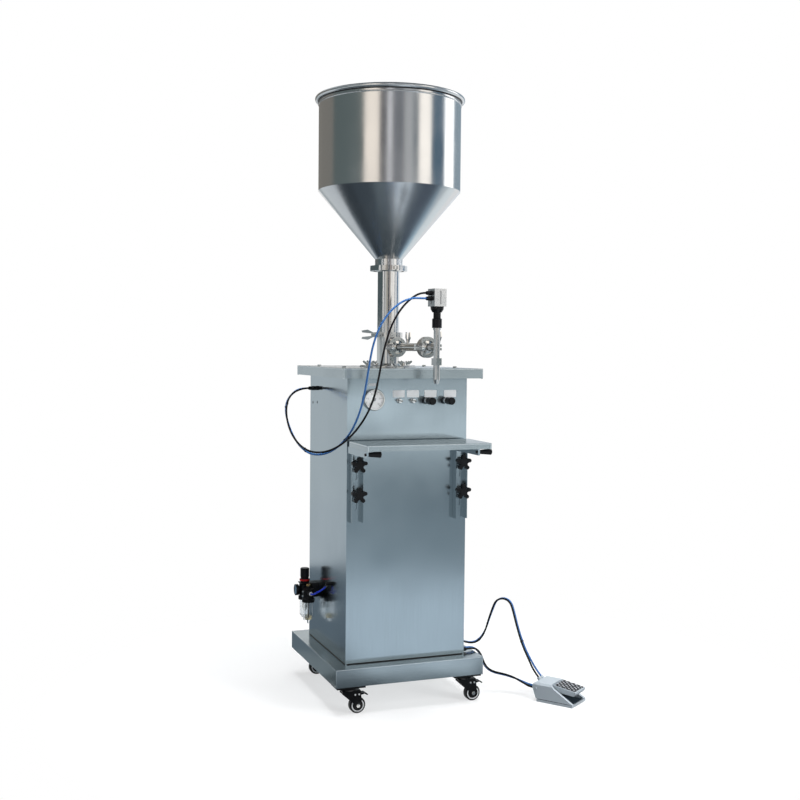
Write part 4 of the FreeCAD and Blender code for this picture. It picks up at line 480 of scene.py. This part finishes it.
# The air hoses are six millimetre polyurethane tube, black for one side and blue for
# the other, held in push-in fittings and left to hang in their own curves.
hose_radius = 0.003
hose_runs = {
    "loop_hose_black": [
        (-0.213, 0.314, 0.970), (-0.231, 0.3135, 0.970), (-0.257, 0.306, 0.966), (-0.284, 0.287, 0.956),
        (-0.308, 0.255, 0.939), (-0.328, 0.207, 0.913), (-0.339, 0.157, 0.879), (-0.340, 0.104, 0.841),
        (-0.329, 0.052, 0.809), (-0.308, 0.0, 0.791), (-0.274, -0.052, 0.795), (-0.238, -0.091, 0.821),
        (-0.204, -0.116, 0.862), (-0.175, -0.128, 0.910), (-0.155, -0.133, 0.962), (-0.143, -0.134, 1.017),
        (-0.133, -0.134, 1.073), (-0.120, -0.134, 1.128), (-0.100, -0.133, 1.179), (-0.072, -0.1305, 1.221),
        (-0.041, -0.1315, 1.250), (-0.0156, -0.1332, 1.2635), (0.0023, -0.1309, 1.264),
    ],
    "loop_hose_blue": [
        (-0.213, 0.358, 0.968), (-0.231, 0.3575, 0.968), (-0.257, 0.350, 0.962), (-0.283, 0.326, 0.945),
        (-0.307, 0.284, 0.926), (-0.324, 0.230, 0.899), (-0.331, 0.172, 0.866), (-0.330, 0.116, 0.831),
        (-0.321, 0.064, 0.801), (-0.303, 0.016, 0.783), (-0.273, -0.028, 0.786), (-0.243, -0.068, 0.811),
        (-0.216, -0.098, 0.853), (-0.199, -0.118, 0.903), (-0.188, -0.130, 0.954), (-0.181, -0.137, 1.006),
        (-0.175, -0.142, 1.057), (-0.166, -0.145, 1.109), (-0.149, -0.147, 1.159), (-0.120, -0.147, 1.203),
        (-0.082, -0.145, 1.235), (-0.045, -0.1395, 1.2475), (-0.0156, -0.1332, 1.248),
        (0.0023, -0.1309, 1.248),
    ],
    "arch_hose_black": [
        (0.213, 0.134, 0.153), (0.235, 0.134, 0.152), (0.260, 0.1365, 0.143), (0.284, 0.140, 0.136),
        (0.306, 0.1425, 0.1375), (0.323, 0.142, 0.151), (0.334, 0.137, 0.176), (0.341, 0.1285, 0.213),
        (0.349, 0.120, 0.248), (0.3575, 0.1115, 0.278), (0.3754, 0.0927, 0.289), (0.3915, 0.0724, 0.2785),
        (0.397, 0.060, 0.247), (0.4015, 0.0485, 0.212), (0.4065, 0.034, 0.176), (0.4125, 0.016, 0.141),
        (0.420, -0.007, 0.109), (0.4256, -0.0325, 0.0773), (0.4359, -0.0468, 0.0596),
    ],
    "arch_hose_blue": [
        (0.213, 0.150, 0.153), (0.235, 0.150, 0.151), (0.261, 0.1495, 0.142), (0.284, 0.1485, 0.136),
        (0.306, 0.1495, 0.1375), (0.325, 0.149, 0.151), (0.338, 0.1435, 0.176), (0.346, 0.135, 0.213),
        (0.3555, 0.1265, 0.248), (0.364, 0.118, 0.278), (0.382, 0.0987, 0.289), (0.398, 0.0782, 0.2785),
        (0.4035, 0.066, 0.247), (0.408, 0.0545, 0.212), (0.4135, 0.040, 0.176), (0.420, 0.022, 0.141),
        (0.429, 0.001, 0.109), (0.4402, -0.0219, 0.0773), (0.4505, -0.0363, 0.0596),
    ],
    "floor_hose_black": [
        (0.213, 0.020, 0.153), (0.232, 0.022, 0.154), (0.254, 0.028, 0.147), (0.271, 0.033, 0.127),
        (0.281, 0.035, 0.101), (0.295, 0.034, 0.079), (0.317, 0.028, 0.067), (0.344, 0.016, 0.062),
        (0.370, -0.005, 0.054), (0.388, -0.032, 0.043), (0.3982, -0.0561, 0.0365), (0.40875, -0.0707, 0.036),
    ],
    "floor_hose_blue": [
        (0.213, 0.036, 0.153), (0.232, 0.037, 0.154), (0.254, 0.041, 0.147), (0.271, 0.044, 0.127),
        (0.281, 0.045, 0.101), (0.295, 0.044, 0.077), (0.317, 0.039, 0.063), (0.345, 0.027, 0.057),
        (0.373, 0.008, 0.050), (0.394, -0.015, 0.042), (0.409, -0.040, 0.0365), (0.4234, -0.0602, 0.036),
    ],
    "lubricator_tube": [
        (-0.231, 0.254, 0.310), (-0.231, 0.234, 0.311), (-0.224, 0.215, 0.321),
        (-0.213, 0.197, 0.332), (-0.207, 0.1786, 0.3434), (-0.207, 0.1618, 0.3544),
    ],
}


def hose_finish(name, colour):
    """Smooth tube plastic with a soft clear gloss."""
    finish = coated(name, colour, 0.24)
    finish.node_tree.nodes["Principled BSDF"].inputs["Coat Weight"].default_value = 0.12
    return finish


black_tube = hose_finish("black_tube", (0.005, 0.005, 0.006))
blue_tube = hose_finish("blue_tube", (0.05, 0.16, 0.42))
oil_tube = hose_finish("oil_tube", (0.015, 0.05, 0.7))


def hose(name, node, finish):
    """A smooth curve of second order whose control points are the hose's corners."""
    line = bpy.data.curves.new(node + "_line", "CURVE")
    line.dimensions = "3D"
    line.bevel_depth = hose_radius
    line.bevel_resolution = 5
    line.resolution_u = 12
    line.use_fill_caps = True
    corners = np.array(hose_runs[node]) + stand
    spline = line.splines.new("NURBS")
    spline.points.add(len(corners) - 1)
    spline.points.foreach_set("co", np.column_stack([corners, np.ones(len(corners))]).ravel())
    spline.order_u = 3
    spline.use_endpoint_u = True
    line.materials.append(finish)
    piece = add_piece(name, line, "machine")
    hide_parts(node)


# Straps of black plastic hold the two hoses of a pair side by side.
# Each is a flat band bent round both, at the middle of one run between two corners.
strap_wide, strap_in, strap_out = 0.0032, hose_radius + 0.0003, hose_radius + 0.0009


def strap(name, black_run, blue_run, leg):
    """An oval: half circles about the two hose centres joined by straight sides, and a flat
    profile carried round it. The leg is numbered by the corner that it starts from."""
    black_start, black_end = np.array(hose_runs[black_run][leg:leg + 2])
    blue_start, blue_end = np.array(hose_runs[blue_run][leg:leg + 2])
    one, two = (black_start + black_end) / 2, (blue_start + blue_end) / 2
    half = np.linalg.norm(two - one) / 2
    apart = (two - one) / (2 * half)
    along = black_end - black_start
    along -= apart * np.dot(along, apart)
    along /= np.linalg.norm(along)
    across = np.cross(along, apart)
    count = 48
    turn = (np.arange(count) + 0.5) * 2 * math.pi / count
    rows = []
    for radius, way in ((strap_in, -0.5), (strap_out, -0.5), (strap_out, 0.5), (strap_in, 0.5)):
        out = half * np.sign(np.cos(turn)) + radius * np.cos(turn)
        rows.append((one + two) / 2 + out[:, None] * apart + (radius * np.sin(turn))[:, None] * across
                    + way * strap_wide * along)
    return skin_over(name, np.array(rows), black_moulding, "machine", closed=True)


loop_straps = [strap("loop_strap_%d" % leg, "loop_hose_black", "loop_hose_blue", leg) for leg in (4, 8, 11)]
arch_straps = [strap("arch_strap_%d" % leg, "arch_hose_black", "arch_hose_blue", leg) for leg in (4, 14)]
hose("loop_air_line_black", "loop_hose_black", black_tube)
hose("loop_air_line_blue", "loop_hose_blue", blue_tube)
hose("arch_air_line_black", "arch_hose_black", black_tube)
hose("arch_air_line_blue", "arch_hose_blue", blue_tube)
hose("floor_air_line_black", "floor_hose_black", black_tube)
hose("floor_air_line_blue", "floor_hose_blue", blue_tube)
hose("oil_line", "lubricator_tube", oil_tube)


# The pedal is faced with a black rubber pad whose top is cut in a diamond pattern, with a pale painted
# highlight on its crests. The pad is glued on, with a border of bare enamel left round it.
foot_place, foot_turn = np.array([0.4428, -0.0684, 0.0]), math.radians(35.7)
foot_side = np.array([math.cos(foot_turn), math.sin(foot_turn), 0.0])
foot_long = np.array([-math.sin(foot_turn), math.cos(foot_turn), 0.0])
foot_up = np.array([0.0, 0.0, 1.0])
pad_half, pad_back, pad_front, pad_thick, pad_sunk = 0.0315, -0.0545, -0.1225, 0.0016, 0.0003
pedal_high_y, pedal_high_z, pedal_fall = -0.052, 0.057, 11 / 74
ridge_pitch, ridge_high, ridge_steep = 0.0165, 0.0012, 1.6
crest_highlight_steep, crest_highlight_start = 4.0, 2.4


def pedal_top(long_way):
    """The height of the pedal's top, which falls evenly to its front."""
    return pedal_high_z - (pedal_high_y - long_way) * pedal_fall


def diamonds(side_way, long_way):
    """The lesser of two waves that cross at a right angle, each the size of a sine: nought in the
    grooves and one on the crests."""
    return np.minimum(np.abs(np.sin(math.pi * (side_way + long_way) / ridge_pitch)),
                      np.abs(np.sin(math.pi * (side_way - long_way) / ridge_pitch)))


side_way, long_way = np.meshgrid(np.linspace(-pad_half, pad_half, 111),
                                 np.linspace(pad_back, pad_front, 121), indexing="ij")
crests = diamonds(side_way, long_way)
pad_level = pedal_top(long_way) + pad_thick + ridge_high * np.clip(crests * ridge_steep, 0, 1)
pad_grid = np.pad(np.stack([side_way, long_way, pad_level], -1), ((1, 1), (1, 1), (0, 0)), mode="edge")
rim = np.ones(pad_grid.shape[:2], bool)
rim[1:-1, 1:-1] = False
pad_grid[rim, 2] = pedal_top(pad_grid[rim, 1]) - pad_sunk
pad_points = pad_grid @ np.array([foot_side, foot_long, foot_up]) + foot_place + stand
index = np.arange(rim.size).reshape(rim.shape)
pad_faces = np.stack([index[:-1, :-1], index[:-1, 1:], index[1:, 1:], index[1:, :-1]], -1).reshape(-1, 4)
border = np.concatenate([index[:, 0], index[-1, 1:], index[-2::-1, -1], index[0, -2:0:-1]])
pad_mesh = bpy.data.meshes.new("pedal_pad")
pad_mesh.from_pydata(pad_points.reshape(-1, 3).tolist(), [], pad_faces.tolist() + [border[::-1].tolist()])
# The pale crests are a painted highlight, given per point and mixed into the pad's dark colour.
crest_highlight = np.zeros(rim.shape, np.float32)
crest_highlight[1:-1, 1:-1] = np.clip(crests * crest_highlight_steep - crest_highlight_start, 0, 1)
pad_mesh.attributes.new("crest_highlight", "FLOAT", "POINT").data.foreach_set("value", crest_highlight.ravel())
pad_rubber = coated("pad_rubber", (0.012, 0.012, 0.013), 0.34)
pad_tree = pad_rubber.node_tree
crest_highlight_read = pad_tree.nodes.new("ShaderNodeAttribute")
crest_highlight_read.attribute_name = "crest_highlight"
shade = pad_tree.nodes.new("ShaderNodeMix")
shade.data_type = "RGBA"
shade.inputs["A"].default_value = (0.01, 0.01, 0.012, 1.0)
shade.inputs["B"].default_value = (0.5, 0.52, 0.55, 1.0)
pad_tree.links.new(crest_highlight_read.outputs["Fac"], shade.inputs["Factor"])
pad_tree.links.new(shade.outputs["Result"], pad_tree.nodes["Principled BSDF"].inputs["Base Color"])
pad_mesh.materials.append(pad_rubber)
add_piece("pedal_pad", pad_mesh, "pedal")


# Dark strips lie in the groove between the foot valve's base plate and its housing as painted shade,
# and a dark sheet on the floor of the opening under the pedal is painted shade too.
groove_shade_level, groove_shade_high, groove_shade_thin = 0.0081, 0.0014, 0.0012
groove_shade_side, groove_shade_half_long, groove_shade_long_way = 0.0478, 0.0535, -0.0575
groove_shade_middles = np.array([foot_place + way * foot_side * groove_shade_side + foot_long * groove_shade_long_way
                           + foot_up * groove_shade_level for way in (-1, 1)])
strokes("foot_groove_shade", groove_shade_middles, np.array([foot_long, foot_long]) * groove_shade_half_long,
        np.array([foot_side, foot_side]) * groove_shade_thin, foot_up * groove_shade_high, black_moulding,
        "machine")
# The dark sheet in the opening under the pedal is painted shade.
opening_shade_half_long, opening_shade_half_wide, opening_shade_thick = 0.0355, 0.0375, 0.0004
opening_shade_long_way, opening_shade_level = -0.083, 0.0082
opening_shade_paint = coated("opening_shade_paint", (0.02, 0.035, 0.045), 0.3)
opening_shade_middle = foot_place + foot_long * opening_shade_long_way + foot_up * opening_shade_level
strokes("foot_opening_shade", opening_shade_middle[None], foot_long[None] * opening_shade_half_long,
        foot_side[None] * opening_shade_half_wide, foot_up * opening_shade_thick, opening_shade_paint, "machine")


# The machine stands on a plain white floor under soft studio light.
# The floor is white to the camera and in reflections, and keeps the machine's soft shadow.
def seen(tree):
    """One for camera, glossy and transmitted rays, nought for the rest."""
    ray = tree.nodes.new("ShaderNodeLightPath")
    total = ray.outputs["Is Camera Ray"]
    for kind in ("Is Glossy Ray", "Is Transmission Ray"):
        more = tree.nodes.new("ShaderNodeMath")
        more.operation = "MAXIMUM"
        tree.links.new(total, more.inputs[0])
        tree.links.new(ray.outputs[kind], more.inputs[1])
        total = more.outputs[0]
    return total


def plain_floor():
    """A round sheet at height nought. Past fade_end it is plain white wherever it is seen."""
    reach, fade_start, fade_end, around = 7.0, 0.75, 1.25, 96
    turn = np.linspace(0, 2 * math.pi, around, endpoint=False)
    edge = np.column_stack([reach * np.cos(turn), reach * np.sin(turn), np.zeros(around)])
    sheet = bpy.data.meshes.new("studio_floor")
    sheet.from_pydata(edge.tolist(), [], [list(range(around))])
    floor = bpy.data.objects.new("studio_floor", sheet)
    bpy.context.scene.collection.objects.link(floor)
    paper, tree, card = blank_finish("white_paper")
    card.inputs["Base Color"].default_value = (0.42, 0.425, 0.43, 1)
    card.inputs["Roughness"].default_value = 0.9
    card.inputs["Specular IOR Level"].default_value = 0.0
    lift = tree.nodes.new("ShaderNodeEmission")
    lift.inputs["Strength"].default_value = 0.6
    lifted = tree.nodes.new("ShaderNodeAddShader")
    tree.links.new(card.outputs[0], lifted.inputs[0])
    tree.links.new(lift.outputs[0], lifted.inputs[1])
    place = tree.nodes.new("ShaderNodeTexCoord")
    distance = tree.nodes.new("ShaderNodeVectorMath")
    distance.operation = "LENGTH"
    tree.links.new(place.outputs["Object"], distance.inputs[0])
    fade = tree.nodes.new("ShaderNodeMapRange")
    fade.interpolation_type = "SMOOTHSTEP"
    fade.inputs["From Min"].default_value = fade_start
    fade.inputs["From Max"].default_value = fade_end
    tree.links.new(distance.outputs["Value"], fade.inputs["Value"])
    white = tree.nodes.new("ShaderNodeEmission")
    near_to_far = tree.nodes.new("ShaderNodeMixShader")
    tree.links.new(fade.outputs[0], near_to_far.inputs[0])
    tree.links.new(lifted.outputs[0], near_to_far.inputs[1])
    tree.links.new(white.outputs[0], near_to_far.inputs[2])
    plain = tree.nodes.new("ShaderNodeBsdfDiffuse")
    plain.inputs["Color"].default_value = (0.36, 0.38, 0.4, 1)
    by_ray = tree.nodes.new("ShaderNodeMixShader")
    tree.links.new(seen(tree), by_ray.inputs[0])
    tree.links.new(plain.outputs[0], by_ray.inputs[1])
    tree.links.new(near_to_far.outputs[0], by_ray.inputs[2])
    tree.links.new(by_ray.outputs[0], tree.nodes["Material Output"].inputs["Surface"])
    sheet.materials.append(paper)
    return floor


plain_floor()


# Round the floor the room is plain white wherever it is seen. Its own light on the machine is
# dim and a little blue, so that undersides and gaps stay dark.
world = bpy.data.worlds.new("studio")
bpy.context.scene.world = world
world.use_nodes = True
sky = world.node_tree
backdrop = sky.nodes["Background"]
backdrop.inputs["Color"].default_value = (1, 1, 1, 1)
room = sky.nodes.new("ShaderNodeBackground")
room.inputs["Color"].default_value = (0.9, 0.95, 1.0, 1)
room.inputs["Strength"].default_value = 0.18
choose = sky.nodes.new("ShaderNodeMixShader")
sky.links.new(seen(sky), choose.inputs[0])
sky.links.new(room.outputs[0], choose.inputs[1])
sky.links.new(backdrop.outputs[0], choose.inputs[2])
sky.links.new(choose.outputs[0], sky.nodes["World Output"].inputs["Surface"])


# Cards stand in a ring round the machine and lie over and under it, and give the steel
# something to mirror. They are seen in reflections only. Each tone holds from its angle
# to the next, counted to the right from the camera's own direction.
card_ring, card_middle, camera_way = 4.6, stand + (0.0, hopper_y, 0.0), math.radians(250.0)
high_tones = [
    (-180, (0.22, 0.21, 0.19)), (-99, (0.115, 0.145, 0.145)), (-41, (1.15, 1.04, 0.92)),
    (-16, (0.12, 0.12, 0.13)), (-5, (0.8, 0.8, 0.82)), (5, (0.18, 0.19, 0.21)), (23, (0.48, 0.49, 0.5)),
    (36, (0.2, 0.23, 0.25)), (47, (1.35, 1.27, 1.17)), (69, (0.09, 0.15, 0.21)), (97, (1.85, 1.85, 1.85)),
    (122, (0.28, 0.36, 0.42)),
]
middle_tones = [
    (-180, (1.0, 1.0, 1.0)), (-158, (0.08, 0.11, 0.12)), (-62, (1.1, 1.1, 1.1)), (-50, (0.09, 0.11, 0.12)),
    (-43, (0.55, 0.56, 0.56)), (-22, (0.42, 0.4, 0.36)), (-4, (0.05, 0.06, 0.07)), (8, (0.5, 0.45, 0.42)),
    (22, (1.1, 1.08, 1.05)), (68, (0.06, 0.12, 0.2)), (74, (1.0, 1.02, 1.05)), (96, (0.1, 0.2, 0.32)),
    (118, (0.9, 0.95, 1.0)),
]
front_start = 18
low_tones = [
    (-180, (0.4, 0.44, 0.46)), (-150, (0.62, 0.66, 0.68)), (-95, (0.42, 0.46, 0.48)),
    (-60, (0.34, 0.38, 0.4)), (-30, (0.8, 0.78, 0.75)), (-12, (0.3, 0.33, 0.35)), (0, (0.5, 0.52, 0.54)),
    (front_start, (1.15, 1.22, 1.25)), (75, (0.2, 0.24, 0.28)), (100, (0.9, 0.9, 0.9)),
    (150, (0.8, 0.82, 0.84)),
]
foot_front, belt_front = (0.15, 0.19, 0.22), (0.12, 0.16, 0.17)
foot_tones = [(way, foot_front if way == front_start else tone) for way, tone in low_tones]
belt_tones = [(way, belt_front if way == front_start else tone) for way, tone in low_tones]
far_ground_tones = [
    (-180, (0.26, 0.32, 0.35)), (-148, (0.6, 0.64, 0.67)), (-95, (0.42, 0.46, 0.48)), (0, (0.44, 0.48, 0.5)),
    (18, (0.34, 0.4, 0.44)), (75, (0.5, 0.55, 0.58)), (125, (0.8, 0.87, 0.9)),
]
near_ground_tones = [
    (-180, (0.16, 0.2, 0.235)), (-118, (0.03, 0.04, 0.05)), (-85, (0.05, 0.065, 0.08)),
    (-40, (0.12, 0.15, 0.17)), (0, (0.32, 0.36, 0.4)), (18, (0.78, 0.87, 0.95)), (55, (0.1, 0.125, 0.15)),
    (75, (0.07, 0.09, 0.12)), (104, (0.13, 0.18, 0.23)), (111, (0.25, 0.36, 0.45)), (119, (0.45, 0.6, 0.7)),
    (130, (0.85, 0.95, 1.0)),
]
close_ground_tones = [
    (-180, (0.24, 0.28, 0.3)), (-95, (0.08, 0.1, 0.11)), (-40, (0.06, 0.07, 0.085)),
    (0, (0.06, 0.075, 0.085)), (18, (0.18, 0.21, 0.23)), (75, (0.07, 0.09, 0.12)), (115, (0.14, 0.18, 0.22)),
]
roof_tones = [(-180, (0.1, 0.115, 0.13))]
outer_roof_tones = [(-180, (0.45, 0.49, 0.52))]


def cards(name, tones, near, far):
    """A strip between two edges, each a radius and a height, swept round the middle."""
    steps = 180
    turn = np.linspace(-math.pi, math.pi, steps + 1)
    outward = np.column_stack([np.cos(turn + camera_way), np.sin(turn + camera_way), np.zeros(steps + 1)])
    edges = [card_middle + radius * outward + (0, 0, height) for radius, height in (near, far)]
    row = np.arange(steps)
    faces = np.column_stack([row, row + 1, row + steps + 2, row + steps + 1])
    strip = bpy.data.meshes.new(name)
    strip.from_pydata(np.vstack(edges).tolist(), [], faces.tolist())
    starts = np.radians([way for way, tone in tones])
    which = np.searchsorted(starts, (turn[:-1] + turn[1:]) / 2, side="right") - 1
    strip.polygons.foreach_set("material_index", which.astype(np.int32))
    for number, (way, tone) in enumerate(tones):
        paint = bpy.data.materials.new("%s_tone_%d" % (name, number))
        paint.use_nodes = True
        glow = paint.node_tree.nodes.new("ShaderNodeEmission")
        glow.inputs["Color"].default_value = (*tone, 1.0)
        surface = paint.node_tree.nodes["Material Output"].inputs["Surface"]
        paint.node_tree.links.new(glow.outputs[0], surface)
        strip.materials.append(paint)
    card_strip = bpy.data.objects.new(name, strip)
    bpy.context.scene.collection.objects.link(card_strip)
    card_strip.visible_camera = False
    card_strip.visible_diffuse = False
    card_strip.visible_transmission = False
    card_strip.visible_volume_scatter = False
    card_strip.visible_shadow = False


foot_split, low_split, belt_split, high_split, roof_level = 0.38, 0.84, 1.22, 1.75, 4.2
ground_start, close_split, ground_split, ground_level = 0.3, 0.58, 2.1, 0.012
roof_split = 2.2
cards("high_cards", high_tones, (card_ring, high_split), (card_ring, roof_level))
cards("middle_cards", middle_tones, (card_ring, belt_split), (card_ring, high_split))
cards("belt_cards", belt_tones, (card_ring, low_split), (card_ring, belt_split))
cards("low_cards", low_tones, (card_ring, foot_split), (card_ring, low_split))
cards("foot_cards", foot_tones, (card_ring, ground_level), (card_ring, foot_split))
cards("far_ground_cards", far_ground_tones, (ground_split, ground_level), (card_ring, ground_level))
cards("near_ground_cards", near_ground_tones, (close_split, ground_level), (ground_split, ground_level))
cards("close_ground_cards", close_ground_tones, (ground_start, ground_level), (close_split, ground_level))
cards("roof_cards", roof_tones, (0.0, roof_level), (roof_split, roof_level))
cards("outer_roof_cards", outer_roof_tones, (roof_split, roof_level), (card_ring, roof_level))


# Three soft lamps light the floor, the enamel and the plastics: a large one overhead and a
# window on either side. The steel doesn't mirror them, as it has the cards.
def soft_box(name, place, aim, size, power):
    """An oblong lamp at place, facing aim."""
    lamp = bpy.data.lights.new(name, "AREA")
    lamp.shape = "RECTANGLE"
    lamp.size, lamp.size_y = size
    lamp.energy = power
    box = bpy.data.objects.new(name, lamp)
    bpy.context.scene.collection.objects.link(box)
    towards = np.array(aim, float) - np.array(place, float)
    level_way = math.hypot(towards[0], towards[1])
    box.visible_glossy = False
    box.location = place
    box.rotation_euler = (math.atan2(level_way, -towards[2]), 0, math.atan2(-towards[0], towards[1]))


soft_box("window_left", (-3.2, -1.6, 2.4), (0, 0, 0.9), (1.0, 2.4), 12)
soft_box("ceiling", (0.0, -0.35, 4.1), (0, 0, 0.6), (2.2, 2.2), 205)
soft_box("window_right", (1.9, -3.1, 2.0), (0, 0, 0.8), (0.8, 2.0), 80)


# The camera stands to the left at about the height of the table and looks a little down.
# Its place, turn and lens follow from the edges of base, cabinet, table and hopper.
camera_place = (-1.376748, -3.319837, 1.100023)
camera_turn, camera_dip, camera_roll = math.radians(20.675), math.radians(2.615), math.radians(0.537)
ahead = np.array([math.sin(camera_turn) * math.cos(camera_dip),
                  math.cos(camera_turn) * math.cos(camera_dip), -math.sin(camera_dip)])
level = np.array([math.cos(camera_turn), -math.sin(camera_turn), 0.0])
upright = np.cross(level, ahead)
across = math.cos(camera_roll) * level + math.sin(camera_roll) * upright
over = math.cos(camera_roll) * upright - math.sin(camera_roll) * level
view = bpy.data.cameras.new("camera")
view.lens = 50.54
view.sensor_width = 36.0
camera = bpy.data.objects.new("camera", view)
bpy.context.scene.collection.objects.link(camera)
camera_frame = np.eye(4)
camera_frame[:3] = np.column_stack([across, over, -ahead, camera_place])
camera.matrix_world = Matrix(camera_frame.tolist())
bpy.context.scene.camera = camera
bpy.context.scene.view_settings.view_transform = "Standard"
